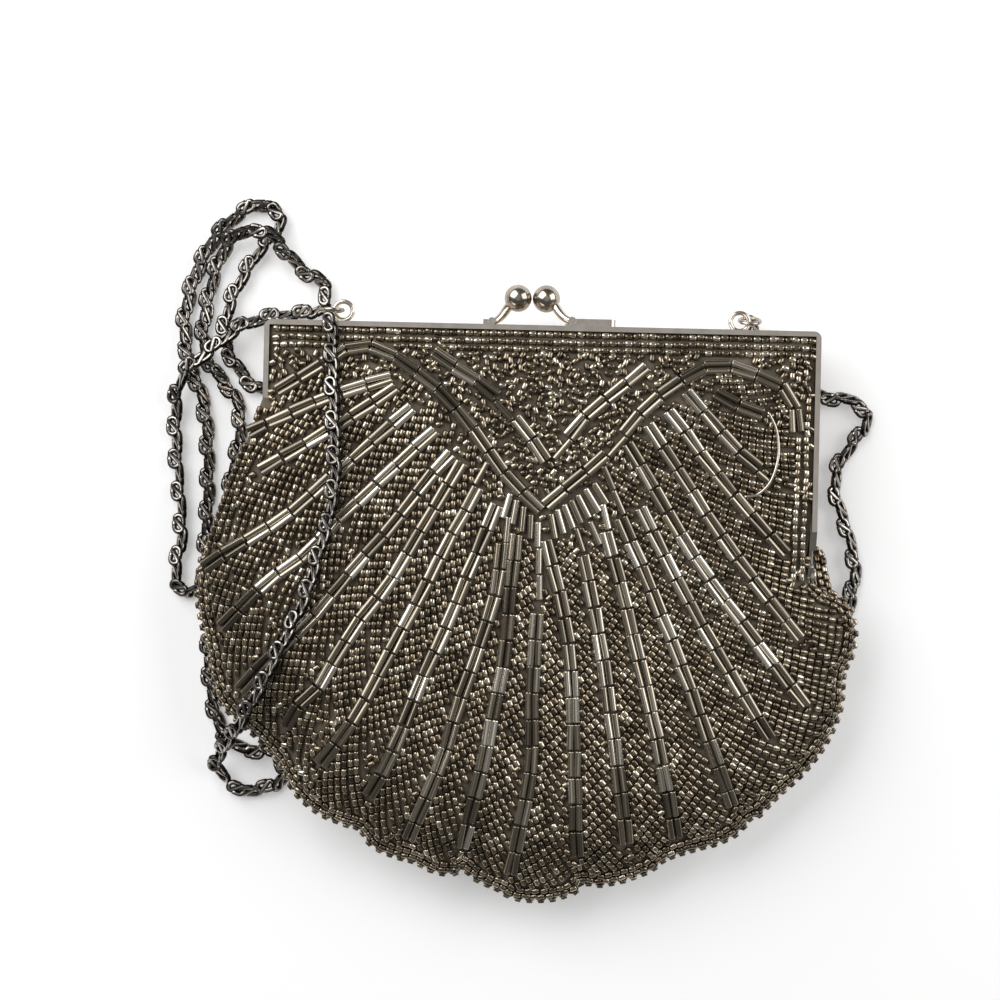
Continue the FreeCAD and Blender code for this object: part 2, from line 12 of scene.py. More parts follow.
import bpy
import numpy as np
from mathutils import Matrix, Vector


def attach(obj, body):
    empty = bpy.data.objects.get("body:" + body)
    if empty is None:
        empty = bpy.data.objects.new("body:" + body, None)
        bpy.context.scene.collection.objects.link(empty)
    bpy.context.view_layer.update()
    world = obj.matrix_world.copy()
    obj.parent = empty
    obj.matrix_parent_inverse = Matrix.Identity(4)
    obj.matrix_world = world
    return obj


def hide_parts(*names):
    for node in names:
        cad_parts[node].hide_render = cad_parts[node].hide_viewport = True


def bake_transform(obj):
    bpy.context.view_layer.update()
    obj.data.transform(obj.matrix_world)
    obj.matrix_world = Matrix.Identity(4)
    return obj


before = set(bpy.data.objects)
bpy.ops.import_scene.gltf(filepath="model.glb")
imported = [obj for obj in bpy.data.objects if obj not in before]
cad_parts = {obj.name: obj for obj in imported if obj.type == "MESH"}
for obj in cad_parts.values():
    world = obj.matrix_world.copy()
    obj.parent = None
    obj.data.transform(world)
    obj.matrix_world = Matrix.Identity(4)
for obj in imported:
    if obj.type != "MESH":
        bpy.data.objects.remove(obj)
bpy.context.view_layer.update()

scene = bpy.context.scene
MM = 0.001
print("CAD nodes:", len(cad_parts))

# %% [markdown]
# ## Camera
# The photograph was taken from straight above with a phone. The perspective is weak, so the camera
# stands 0.6 m up with a long lens, turned by the small tilt that the frame's rail has in the
# picture. The function `spot` undoes that camera: it tells where a point of the photograph lies on
# a level plane, and the beadwork's lines, measured in the photograph's pixels, are placed with it.

# %% camera from above
PHOTO_SIDE = 1000
FOCAL_PIXELS = 2150.0
CAMERA_AT = (-6.27, 23.64, 600.0)
CAMERA_TILT = 0.0229

camera_data = bpy.data.cameras.new("camera")
camera_data.sensor_width = 36.0
camera_data.lens = camera_data.sensor_width * FOCAL_PIXELS / PHOTO_SIDE
camera = bpy.data.objects.new("camera", camera_data)
camera.location = Vector(CAMERA_AT) * MM
camera.rotation_euler = (0.0, 0.0, CAMERA_TILT)
scene.collection.objects.link(camera)
scene.camera = camera


def spot(px, py, z):
    """Where a pixel of the photograph lies on the level plane z: X and Y in millimetres."""
    right = px - PHOTO_SIDE / 2
    down = py - PHOTO_SIDE / 2
    across = math.cos(CAMERA_TILT) * right + math.sin(CAMERA_TILT) * down
    along = math.cos(CAMERA_TILT) * down - math.sin(CAMERA_TILT) * right
    scale = (CAMERA_AT[2] - z) / FOCAL_PIXELS
    return CAMERA_AT[0] + across * scale, CAMERA_AT[1] - along * scale


print("lens", round(camera_data.lens, 1), "mm")

# %% [markdown]
# ## Many copies of one small shape
# Thousands of beads and a couple of hundred chain links are too many for separate objects. Each
# kind is drawn once as a small all-quad shape, and numpy copies it to every place into one mesh.
# Every copy keeps a number of its own, `tone`, that the materials read to make it lighter or
# darker. The tone may also vary over the shape, as on a chain link, where it paints a highlight
# along the wire's ridge and shade on its flanks. Each copy has a cell of its own on the bake map, so
# that its colour can be baked later.

# %% copies of a shape
BAKE_MAP = "OFBake"
CELL_MARGIN = 0.06
END_BAND = 0.1


def turned_shape(profile, sides):
    """A shape turned on a lathe along X from (x, radius) pairs, with flat ends. Sides are even."""
    angles = np.arange(sides) * 2 * math.pi / sides
    rings = [np.stack([np.full(sides, x), r * np.cos(angles), r * np.sin(angles)], 1) for x, r in profile]
    return closed_tube(np.array(rings))


def closed_tube(rings):
    """Quads over a stack of rings, with both ends closed: vertices, quads and a flat layout."""
    count, sides = rings.shape[:2]
    quads = []
    layout = []
    for k in range(count - 1):
        for j in range(sides):
            n = (j + 1) % sides
            quads.append((k * sides + j, k * sides + n, (k + 1) * sides + n, (k + 1) * sides + j))
            left, right = j / sides, (j + 1) / sides
            low, high = (END_BAND + (1 - 2 * END_BAND) * (k + s) / (count - 1) for s in (0, 1))
            layout.append(((left, low), (right, low), (right, high), (left, high)))
    last = (count - 1) * sides
    for j in range(sides // 2 - 1):
        near, far = sides - 1 - j, sides - 2 - j
        quads.append((near, far, j + 1, j))
        quads.append((last + j, last + j + 1, last + far, last + near))
        left, right = 2 * j / sides, 2 * (j + 1) / sides
        for low, high in ((0.0, END_BAND / 2), (1 - END_BAND / 2, 1.0)):
            layout.append(((left, low), (right, low), (right, high), (left, high)))
    return rings.reshape(-1, 3), np.array(quads), np.array(layout)


def unit(vectors):
    return vectors / np.linalg.norm(vectors, axis=-1, keepdims=True)


def copies(name, *batches):
    """One mesh from batches of (shape, centres, along, up, tones, stretch).

    X of a shape goes along and Z goes up. A tone is one number for a copy, or one for each corner.
    """
    total = sum(len(batch[1]) for batch in batches)
    across = math.ceil(math.sqrt(total))
    points, faces, tones, flat = [], [], [], []
    first_corner = first_copy = 0
    for (corners, quads, layout), centres, along, up, tone, stretch in batches:
        count = len(centres)
        x_axis = unit(np.asarray(along, float))
        y_axis = unit(np.cross(np.asarray(up, float), x_axis))
        axes = np.stack([x_axis, y_axis, np.cross(x_axis, y_axis)], 1)
        placed = np.einsum("nvk,nkj->nvj", corners * stretch[:, None], axes) + centres[:, None]
        points.append(placed.reshape(-1, 3))
        starts = first_corner + np.arange(count) * len(corners)
        faces.append((quads[None] + starts[:, None, None]).reshape(-1, 4))
        tones.append(np.broadcast_to(np.reshape(tone, (count, -1)), (count, len(corners))).ravel())
        number = first_copy + np.arange(count)
        cell = np.stack([number % across, number // across], 1) / across
        within = (CELL_MARGIN + (1 - 2 * CELL_MARGIN) * layout) / across
        flat.append((cell[:, None, None] + within).reshape(-1, 2))
        first_corner += count * len(corners)
        first_copy += count
    points, faces, tones, flat = [np.concatenate(rows) for rows in (points, faces, tones, flat)]
    mesh = bpy.data.meshes.new(name)
    mesh.vertices.add(len(points))
    mesh.loops.add(faces.size)
    mesh.polygons.add(len(faces))
    mesh.vertices.foreach_set("co", (points * MM).astype(np.float32).ravel())
    mesh.loops.foreach_set("vertex_index", faces.astype(np.int32).ravel())
    mesh.polygons.foreach_set("loop_start", np.arange(len(faces), dtype=np.int32) * 4)
    mesh.polygons.foreach_set("use_smooth", np.ones(len(faces), bool))
    mesh.update(calc_edges=True)
    mesh.attributes.new("tone", "FLOAT", "POINT").data.foreach_set("value", tones.astype(np.float32))
    mesh.uv_layers.new(name=BAKE_MAP).uv.foreach_set("vector", flat.astype(np.float32).ravel())
    piece = bpy.data.objects.new(name, mesh)
    scene.collection.objects.link(piece)
    print(name, total, "copies,", 2 * len(faces), "triangles")
    return piece


# %% [markdown]
# ## Finishes
# The metals, glass and cloth share a few effects, kept as node groups: a mottled mask for tarnish
# and dust, fine handling scratches, a woven bump, and the lines along drawn glass. A group only
# gives out values that vary over the surface, and each material connects them to its own shader.

# %% shared effects
def set_inputs(node, values):
    """Sets plain values on a node's inputs; From_Min stands for the input From Min."""
    for socket, value in values.items():
        node.inputs[socket.replace("_", " ")].default_value = value


def add_node(tree, kind, operation=None, **values):
    node = tree.nodes.new("ShaderNode" + kind)
    if operation:
        node.operation = operation
    set_inputs(node, values)
    return node


def join(tree, *rows):
    """Connects nodes, from rows of (giver, its output, taker, its input)."""
    for giver, output, taker, socket in rows:
        tree.links.new(giver.outputs[output], taker.inputs[socket])


def effect(name, output):
    """A node group with the input Scale and one output value: returns it and its two end nodes."""
    group = bpy.data.node_groups.new(name, "ShaderNodeTree")
    for label, side in (("Scale", "INPUT"), (output, "OUTPUT")):
        group.interface.new_socket(label, in_out=side, socket_type="NodeSocketFloat")
    return group, group.nodes.new("NodeGroupInput"), group.nodes.new("NodeGroupOutput")


def mottle_effect():
    """Soft cloudy patches from 0 to 1, for tarnish, dust and uneven polish."""
    group, given, result = effect("mottle", "Mask")
    noise = add_node(group, "TexNoise", Detail=5.0, Roughness=0.65)
    spread = add_node(group, "MapRange", From_Min=0.35, From_Max=0.68)
    join(group, (add_node(group, "TexCoord"), "Object", noise, "Vector"), (given, "Scale", noise, "Scale"),
         (noise, "Fac", spread, "Value"), (spread, "Result", result, "Mask"))
    return group


def scratch_effect():
    """Fine brushed lines as a height, from a noise that is drawn out along one direction."""
    group, given, result = effect("scratches", "Height")
    drawn = add_node(group, "Mapping", Scale=(0.04, 1.0, 1.0))
    noise = add_node(group, "TexNoise", Detail=3.0)
    join(group, (add_node(group, "TexCoord"), "Object", drawn, "Vector"), (drawn, "Vector", noise, "Vector"),
         (given, "Scale", noise, "Scale"), (noise, "Fac", result, "Height"))
    return group


def weave_effect():
    """Over and under threads as a height: two crossed waves."""
    group, given, result = effect("weave", "Height")
    place = add_node(group, "TexCoord")
    height = add_node(group, "Math", "MULTIPLY")
    for slot, direction in enumerate(("X", "Y")):
        wave = add_node(group, "TexWave", Distortion=0.6)
        wave.bands_direction = direction
        join(group, (place, "Object", wave, "Vector"), (given, "Scale", wave, "Scale"),
             (wave, "Fac", height, slot))
    join(group, (height, "Value", result, "Height"))
    return group


def streak_effect():
    """Fine lines along each glass tube, from 0 to 1, read from its own cell of the bake map."""
    group, given, result = effect("streaks", "Mask")
    place = add_node(group, "UVMap")
    place.uv_map = BAKE_MAP
    drawn = add_node(group, "Mapping", Scale=(1.0, 0.03, 1.0))
    noise = add_node(group, "TexNoise", Detail=2.0)
    spread = add_node(group, "MapRange", From_Min=0.38, From_Max=0.62)
    join(group, (place, "UV", drawn, "Vector"), (drawn, "Vector", noise, "Vector"),
         (given, "Scale", noise, "Scale"), (noise, "Fac", spread, "Value"),
         (spread, "Result", result, "Mask"))
    return group


MOTTLE = mottle_effect()
SCRATCHES = scratch_effect()
WEAVE = weave_effect()
STREAKS = streak_effect()
print("effects:", [group.name for group in bpy.data.node_groups])

# %% tools for one material
SHADER = "Principled BSDF"


def finish(name, **plain):
    """A new material with plain values on its shader."""
    material = bpy.data.materials.new(name)
    material.use_nodes = True
    set_inputs(material.node_tree.nodes[SHADER], plain)
    return material


def feed(material, **varying):
    """Connects values that vary over the surface to a material's shader."""
    inputs = material.node_tree.nodes[SHADER].inputs
    for socket, value in varying.items():
        material.node_tree.links.new(value, inputs[socket.replace("_", " ")])


def add_effect(material, group, scale):
    """Puts a shared effect into a material; returns the effect's value."""
    node = add_node(material.node_tree, "Group")
    node.node_tree = group
    set_inputs(node, {"Scale": scale})
    return node.outputs[0]


def colours(material, value, *stops):
    """A run of colours over a value from 0 to 1; returns the colour output."""
    ramp = add_node(material.node_tree, "ValToRGB")
    while len(ramp.color_ramp.elements) < len(stops):
        ramp.color_ramp.elements.new(0.5)
    for element, (at, colour) in zip(ramp.color_ramp.elements, stops):
        element.position = at
        element.color = (*colour, 1.0)
    material.node_tree.links.new(value, ramp.inputs["Fac"])
    return ramp.outputs["Color"]


def between(material, value, low, high):
    """Stretches a value from 0..1 to low..high; returns the new value."""
    node = add_node(material.node_tree, "MapRange", To_Min=low, To_Max=high)
    material.node_tree.links.new(value, node.inputs["Value"])
    return node.outputs["Result"]


def raised(material, height, strength, distance):
    """Turns a height into a surface normal; returns the normal."""
    node = add_node(material.node_tree, "Bump", Strength=strength, Distance=distance)
    material.node_tree.links.new(height, node.inputs["Height"])
    return node.outputs["Normal"]


def shaded(material, colour, shade):
    """One colour multiplied by another; returns the colour output."""
    node = add_node(material.node_tree, "VectorMath", "MULTIPLY")
    for slot, value in enumerate((colour, shade)):
        material.node_tree.links.new(value, node.inputs[slot])
    return node.outputs["Vector"]


def tone_of(material):
    """The tone of a copy, or of the place on it, from 0 dark to 1 bright."""
    node = add_node(material.node_tree, "Attribute")
    node.attribute_name = "tone"
    return node.outputs["Fac"]


# %% [markdown]
# ## Metals
# The frame is bright nickel plate, dulled a little by handling. The balls and the jump rings take a
# darker copy of it, painted shade that stands in for the dim room mirrored in the round balls. The
# chain is a darker oxidised silver. Its colour follows the links' own tone, which is a painted
# highlight along the ridge of each wire and painted shade on its flanks, and a mottled tarnish dims
# it here and there.

# %% metal finishes
# colours of the chain over its tone: oxidised silver, with painted shade on each wire's flanks and a painted
# highlight along its ridge
CHAIN_SHADE = (0.018, 0.016, 0.014)
CHAIN_HALF_SHADE = (0.065, 0.058, 0.051)
CHAIN_HIGHLIGHT = (0.70, 0.645, 0.58)


def nickel_finish(name, dull, bright):
    material = finish(name, Metallic=1.0)
    mottle = add_effect(material, MOTTLE, 260.0)
    scratches = add_effect(material, SCRATCHES, 1400.0)
    feed(material, Base_Color=colours(material, mottle, (0.0, dull), (1.0, bright)),
         Roughness=between(material, mottle, 0.15, 0.22), Normal=raised(material, scratches, 0.12, 0.0002))
    return material


def chain_finish():
    material = finish("oxidised_silver", Metallic=1.0)
    mottle = add_effect(material, MOTTLE, 400.0)
    # painted highlight along each wire's ridge and painted shade on its flanks, over the dark oxidised
    # silver
    ridge_light = colours(material, tone_of(material), (0.0, CHAIN_SHADE), (0.4, CHAIN_HALF_SHADE), (1.0, CHAIN_HIGHLIGHT))
    tarnish = colours(material, mottle, (0.0, (0.4,) * 3), (1.0, (1.0,) * 3))
    feed(material, Base_Color=shaded(material, ridge_light, tarnish),
         Roughness=between(material, mottle, 0.24, 0.12), Normal=raised(material, mottle, 0.15, 0.0002))
    return material


NICKEL = nickel_finish("nickel_plate", (0.61, 0.55, 0.485), (0.71, 0.65, 0.58))
# a darker copy of the nickel for the balls and jump rings: painted shade for the dim room the round balls
# mirror
SHADED_NICKEL = nickel_finish("shaded_nickel", (0.33, 0.29, 0.245), (0.50, 0.45, 0.39))
OXIDISED = chain_finish()
NICKEL_NODES = (
    "back_frame", "front_frame", "left_hinge_rivet", "right_hinge_rivet", "front_knob_foot",
    "front_knob_arm", "back_knob_foot", "back_knob_arm", "left_strap_eye", "right_strap_eye",
)
SHADED_NICKEL_NODES = ("front_knob_ball", "back_knob_ball", "left_jump_ring", "right_jump_ring")
for names, metal in ((NICKEL_NODES, NICKEL), (SHADED_NICKEL_NODES, SHADED_NICKEL)):
    for node_name in names:
        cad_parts[node_name].data.materials.clear()
        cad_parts[node_name].data.materials.append(metal)
    print(metal.name, "on", len(names), "nodes")

# %% [markdown]
# ## Chain strap
# The strap is made of S-shaped wire links. Every second one lies flat with its S in view, and those
# between are turned on edge and reach from one S to the next. Its line is a smooth spline along the
# route of the CAD tubes, moved a few millimetres where the photograph shows it aside from them: from
# the left eye down the front and over the beaded edge, into a hank of doubled strands at the left,
# then under the purse and out at the right in a loop that comes back to the right eye. The first
# stretch crosses the frame's hinge, so it is a piece of its own.

# %% routes of the chain, in millimetres; a point without a height lies on the table
LYING_Z = 2.1
STRAND_OVER_FRONT = [
    (-52.9, 73.4, 25.0), (-52.5, 65.5, 24.1), (-52.0, 56.0, 25.7), (-51.5, 47.5, 27.0),
    (-51.0, 39.5, 27.9), (-50.5, 31.5, 27.9), (-51.0, 23.5, 27.9), (-51.75, 19.25, 27.9),
    (-52.5, 15.0, 27.9), (-55.0, 7.0, 27.9), (-57.0, -1.0, 27.9), (-58.5, -4.75, 27.65),
    (-60.0, -8.5, 27.4), (-64.0, -16.5, 26.7), (-68.0, -25.0, 25.7), (-72.2, -32.5, 24.4),
    (-75.6, -38.8, 20.8), (-78.6, -43.2, 15.8), (-81.0, -46.2, 10.4), (-82.8, -48.8, 6.4),
    (-83.6, -53.4, 3.1), (-80.25, -56.05, 2.5),
]
HANK_AND_LOOP = [
    (-80.25, -56.05, 2.5), (-77.4, -58.2), (-72.5, -58.2), (-67.6, -57.3), (-64.9, -54.5),
    (-64.9, -50.7), (-67.6, -48.0), (-72.0, -47.7), (-77.0, -47.4), (-81.6, -44.6), (-84.4, -37.5),
    (-85.9, -28.5), (-86.8, -20.0), (-86.0, -11.5), (-84.0, -3.5), (-83.2, 5.5), (-82.7, 14.5),
    (-82.0, 23.0), (-80.5, 32.0), (-79.0, 39.5), (-79.2, 46.5), (-81.0, 51.0), (-84.0, 54.5),
    (-87.5, 58.5), (-89.5, 63.0), (-90.2, 69.0), (-89.3, 75.5), (-88.0, 82.0), (-86.3, 88.5),
    (-83.2, 94.0, 3.0), (-79.2, 96.6, 6.3), (-75.3, 97.0, 6.6), (-71.0, 95.2, 6.6), (-67.8, 91.4, 4.5),
    (-64.8, 87.8, 2.3), (-61.4, 85.2), (-57.6, 83.2), (-55.5, 79.8), (-56.8, 76.0), (-60.8, 74.5),
    (-67.5, 74.0), (-73.5, 72.9, 2.6), (-78.5, 70.8, 5.2), (-82.3, 67.6, 6.7), (-85.6, 64.7, 6.7),
    (-89.0, 62.0, 6.7), (-92.3, 59.6, 6.7), (-95.2, 56.0, 6.4), (-97.0, 51.0, 3.6), (-97.3, 45.0),
    (-97.0, 37.0), (-96.0, 27.5), (-95.0, 17.5), (-94.8, 10.5), (-95.7, 6.0), (-96.3, 2.6),
    (-96.3, -0.7), (-93.9, -3.2), (-90.4, -3.2), (-88.0, -0.7), (-87.9, 2.6), (-88.0, 6.5),
    (-88.0, 11.5), (-87.6, 20.5), (-87.7, 30.5), (-88.2, 41.0), (-89.6, 50.0), (-92.6, 57.0),
    (-94.8, 64.0), (-95.5, 71.0), (-94.4, 78.0), (-92.2, 85.5), (-88.4, 93.5), (-83.6, 99.5),
    (-78.0, 103.5), (-73.8, 104.8), (-70.2, 103.2), (-69.2, 99.3), (-71.4, 95.6), (-74.3, 92.5),
    (-77.2, 88.0), (-80.2, 83.0), (-82.6, 77.5), (-84.2, 71.5), (-84.0, 66.0), (-82.0, 61.0),
    (-78.6, 56.2), (-74.6, 52.9), (-69.5, 51.7), (-60.0, 52.5), (-46.5, 54.0), (-27.0, 55.0),
    (-5.0, 56.0), (17.5, 56.0), (37.0, 55.0), (50.5, 54.5), (60.0, 52.0), (67.5, 47.0), (72.5, 38.5),
    (75.5, 30.0), (77.0, 21.5), (79.0, 11.5), (81.0, 2.0), (81.5, -1.0), (82.0, -5.0), (84.7, -7.9),
    (88.4, -7.9), (91.0, -5.0), (91.8, 0.4), (92.8, 6.0), (91.5, 13.0), (89.0, 20.5), (86.5, 27.0),
    (86.5, 34.0), (89.5, 39.5), (93.0, 44.0), (95.2, 48.0), (93.6, 52.2), (89.0, 53.6), (84.0, 54.0),
    (79.0, 55.0), (72.5, 59.5), (67.0, 65.0), (63.0, 70.5, 2.4), (61.3, 75.4, 4.9),
]


def chain_line(name, route):
    """The smooth line of a stretch of chain, as points in millimetres read from its spline."""
    curve = bpy.data.curves.new(name, "CURVE")
    curve.dimensions = "3D"
    spline = curve.splines.new("NURBS")
    spline.points.add(len(route) - 1)
    for point, corner in zip(spline.points, route):
        point.co = (*(*corner, LYING_Z)[:3], 1.0)
    spline.order_u = 3
    spline.use_endpoint_u = True
    spline.resolution_u = 10
    holder = bpy.data.objects.new(name, curve)
    line = bpy.data.meshes.new_from_object(holder)
    points = np.array([vertex.co[:] for vertex in line.vertices])
    bpy.data.objects.remove(holder)
    bpy.data.meshes.remove(line)
    bpy.data.curves.remove(curve)
    return points


def run_along(points):
    """Distance along a line at each of its points."""
    return np.concatenate([[0.0], np.cumsum(np.linalg.norm(np.diff(points, axis=0), axis=1))])


def at_distance(points, run, where):
    return np.stack([np.interp(where, run, points[:, k]) for k in range(points.shape[1])], 1)


# %% links of the chain
LINK_PITCH = 4.55
LINK_WIRE = 0.74
LINK_REACH = 1.0
LINK_EYE = 1.3
LINK_TIP = -0.7
FLAT_ASIDE = -0.4
FLAT_LIFT = 0.4
EDGE_TURN = 42.0
EDGE_ASIDE = 0.6
EDGE_LIFT = -0.1
EDGE_LONGER = 1.3
FLAT_TURN = 8.0
FLAT_UNEVEN = 7.0
EDGE_UNEVEN = 6.0
LINK_SIGHT = 1.6
END_ROOM = 3.2


def bent_wire(line, radius, sides):
    """A round wire or thread along a line of points that is nowhere upright."""
    ahead = unit(np.gradient(line, axis=0))
    level = unit(np.cross([0.0, 0.0, 1.0], ahead))
    plumb = np.cross(ahead, level)
    angles = np.arange(sides)[None, :, None] * 2 * math.pi / sides
    circle = np.cos(angles) * level[:, None] + np.sin(angles) * plumb[:, None]
    return closed_tube(line[:, None] + radius * circle)


def s_link():
    """A link bent into a long S, with each end curled back beside its slanting middle."""
    curl = np.radians(np.linspace(-90, 75, 10))
    hook = [(LINK_TIP, -LINK_EYE, 0.0), ((LINK_TIP + LINK_REACH) / 2, -LINK_EYE, 0.0)]
    bend = np.stack([LINK_REACH + LINK_EYE * np.cos(curl), LINK_EYE * np.sin(curl), np.zeros(10)], 1)
    head = np.concatenate([hook, bend])
    return bent_wire(np.concatenate([head, -head[::-1]]), LINK_WIRE, 8)


S_LINK = s_link()
# painted highlight: the tone rises towards the wire's ridge above and below, and falls to painted shade on
# its flanks
HIGHLIGHT_ON_WIRE = (np.abs(S_LINK[0][:, 2]) / LINK_WIRE) ** 3


def links_along(line, run, where, turn, aside, lift, longer):
    """A batch of links at distances along a line, each turned about the line, set aside and lifted."""
    centres = at_distance(line, run, where)
    along = unit(at_distance(line, run, where + LINK_SIGHT) - at_distance(line, run, where - LINK_SIGHT))
    level = unit(np.cross(along, [0.0, 0.0, 1.0]))
    plumb = np.cross(level, along)
    turn = np.radians(turn)[:, None]
    up = plumb * np.cos(turn) + level * np.sin(turn)
    east = np.where(level[:, :1] < 0, -1.0, 1.0)
    # each link carries the painted highlight and shade of its wire as its tone
    tones = np.tile(HIGHLIGHT_ON_WIRE, (len(where), 1))
    stretch = np.tile([longer, 1.0, 1.0], (len(where), 1))
    return S_LINK, centres + level * east * aside + plumb * lift, along, up, tones, stretch


def chain(name, route, seed):
    """Links along a route, every second one on edge: returns the piece, its line and its length."""
    luck = np.random.default_rng(seed)
    line = chain_line(name, route)
    run = run_along(line)
    count = 2 * round(run[-1] / LINK_PITCH / 2)
    where = np.clip((np.arange(count) + 0.5) * run[-1] / count, END_ROOM, run[-1] - END_ROOM)
    flat_turns = luck.normal(FLAT_TURN, FLAT_UNEVEN, count // 2)
    edge_turns = luck.normal(EDGE_TURN, EDGE_UNEVEN, count // 2)
    piece = copies(
        name, links_along(line, run, where[::2], flat_turns, FLAT_ASIDE, FLAT_LIFT, 1.0),
        links_along(line, run, where[1::2], edge_turns, EDGE_ASIDE, EDGE_LIFT, EDGE_LONGER))
    piece.data.materials.append(OXIDISED)
    return piece, line * MM, run[-1] * MM


front_strand, front_line, front_length = chain("chain_over_front", STRAND_OVER_FRONT, 3)
hank, hank_line, hank_length = chain("chain_hank_and_loop", HANK_AND_LOOP, 4)
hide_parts("strap_front_upper", "strap_front_fold", "strap_front_lower")
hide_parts("strap_hank", "strap_under_run", "strap_right_loop")
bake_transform(front_strand)
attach(hank, "back_half")
print("chain", round(front_length + hank_length, 3), "m")

# %% [markdown]
# ## Shape of the pouch
# The pouch is two padded shells sewn together round a scalloped edge, slack enough to sag on the
# table and to bulge over the frame's left leg. Each shell is a height over the flat outline: it
# starts at the edge's own height, turns up in a round shoulder, and levels off at the belly, which
# is how a soft bag with a little air in it lies. Formulas do this with less trouble than a cloth
# simulation, and every bead can ask for the height and slope under it.

# %% outlines of the two shells
FRAME_TOP = [
    (-69.8, 53.0), (-69.8, 60.0), (-69.8, 66.0), (-69.8, 69.0), (-68.9, 69.9), (-65.0, 69.9),
    (-50.0, 69.9), (-20.0, 69.9), (4.0, 69.9), (30.0, 69.9), (60.0, 69.9), (73.5, 69.9), (77.4, 69.9),
    (78.3, 69.0), (78.3, 65.0), (78.3, 55.0), (78.3, 40.0), (78.2, 22.0),
]
FRONT_EDGE_Z = 19.9
BACK_EDGE_Z = 9.3
RIM_Z = 14.6
SEAM_HALF = 0.6
SHOULDER_PLANE_Z = 16.0
RIM_PLANE_Z = 15.0
EDGE_STEP = 1.5
RIGHT_SHOULDER_PX = [
    (807, 560, 18.0), (810, 582, 16.4), (822, 594, 15.6), (838, 601, 15.3),
    (848, 612, 15.2), (852, 635, 15.2),
]
RIM_PX = [
    (848, 655), (840, 672), (838, 700), (832, 722), (820, 745), (805, 765), (790, 780), (770, 798),
    (757, 812), (748, 815), (735, 830), (715, 840), (692, 846), (665, 855), (650, 866), (625, 876),
    (600, 881), (580, 879), (574, 888), (545, 896), (515, 894), (500, 886), (478, 876), (463, 863),
    (455, 869), (437, 868), (415, 858), (395, 852), (375, 843), (362, 826), (345, 820), (325, 812),
    (308, 800), (297, 788), (290, 776), (280, 756), (263, 737), (247, 723), (233, 711), (222, 697),
    (216, 678), (212, 655), (208, 632), (203, 610), (201, 590),
]
LEFT_BULGE_PX = [
    (204, 565, 15.2), (210, 540, 16.2), (221, 503, 18.2), (238, 458, 20.3), (252, 424, 21.6),
    (261, 398, 21.9),
]
BACK_RIGHT = [
    (79.0, 16.5, 6.3), (81.0, 12.9, 7.6), (83.2, 11.0, 9.0), (84.1, 6.0, 11.2), (85.3, 1.0, 12.6),
    (86.4, -2.4, 13.4), (89.4, -6.0, 13.9),
]
BACK_LEFT = [(-82.0, 3.0, 12.5), (-75.0, 9.0, 10.6), (-69.8, 18.0, 9.5)]


def even_line(points, step, closed=False):
    """A smooth line through points, with even spacing; extra columns such as heights go along."""
    p = np.array(points, float)
    if closed:
        p = np.concatenate([p[-1:], p, p[:2]])
    else:
        p = np.concatenate([2 * p[:1] - p[1:2], p, 2 * p[-1:] - p[-2:-1]])
    t = np.linspace(0, 1, 12, endpoint=False)[:, None]
    pieces = []
    for a, b, c, d in zip(p, p[1:], p[2:], p[3:]):
        pieces.append(b + 0.5 * t * (c - a + t * (2 * a - 5 * b + 4 * c - d + t * (3 * (b - c) + d - a))))
    fine = np.concatenate(pieces + [p[-2:-1]])
    run = run_along(fine[:, :2])
    count = max(2, round(run[-1] / step))
    where = np.linspace(0, run[-1], count + 1)
    return at_distance(fine, run, where[:-1] if closed else where)


front_corners = [(x, y, FRONT_EDGE_Z) for x, y in FRAME_TOP]
front_corners += [(*spot(px, py, SHOULDER_PLANE_Z), z) for px, py, z in RIGHT_SHOULDER_PX]
front_corners += [(*spot(px, py, RIM_PLANE_Z), RIM_Z + SEAM_HALF) for px, py in RIM_PX]
front_corners += [(*spot(px, py, z), z) for px, py, z in LEFT_BULGE_PX]
back_corners = [(x, y, BACK_EDGE_Z) for x, y in FRAME_TOP]
back_corners += BACK_RIGHT
back_corners += [(*spot(px, py, RIM_PLANE_Z), RIM_Z - SEAM_HALF) for px, py in RIM_PX]
back_corners += BACK_LEFT
FRONT_LOOP = even_line(front_corners, EDGE_STEP, closed=True)
BACK_LOOP = even_line(back_corners, EDGE_STEP, closed=True)
print("front edge", len(FRONT_LOOP), "points, back edge", len(BACK_LOOP), "points")

# %% height of the cloth
FRONT_BELLY_Z = 23.6
BACK_BELLY_Z = 1.75
FRONT_SHOULDER = 32.0
BACK_SHOULDER = 44.0
FRONT_ROUNDNESS = 2.8
BACK_ROUNDNESS = 2.4
BACK_STRAIGHT_Y = 10.0
BACK_ROUND_Y = -15.0
AT_A_TIME = 4000


def edge_distance(flat, loop):
    """How far points are from an outline, negative outside it, and the edge's height near them."""
    a = loop
    b = np.roll(loop, -1, axis=0)
    side = b[:, :2] - a[:, :2]
    nearest = np.empty(len(flat))
    height = np.empty(len(flat))
    inside = np.zeros(len(flat), bool)
    for low in range(0, len(flat), AT_A_TIME):
        now = slice(low, low + AT_A_TIME)
        p = flat[now]
        to = p[:, None] - a[None, :, :2]
        share = np.clip((to * side).sum(2) / (side ** 2).sum(1), 0, 1)
        gap = np.linalg.norm(to - share[..., None] * side, axis=2)
        weight = 1 / (gap + 1.5) ** 3
        nearest[now] = gap.min(1)
        height[now] = (weight * a[:, 2]).sum(1) / weight.sum(1)
        above = (a[:, 1] > p[:, 1:]) != (b[:, 1] > p[:, 1:])
        with np.errstate(divide="ignore", invalid="ignore"):
            cross = a[:, 0] + (p[:, 1:] - a[:, 1]) * side[:, 0] / side[:, 1]
        inside[now] = (above & (p[:, :1] < cross)).sum(1) % 2 == 1
    return np.where(inside, nearest, -nearest), height


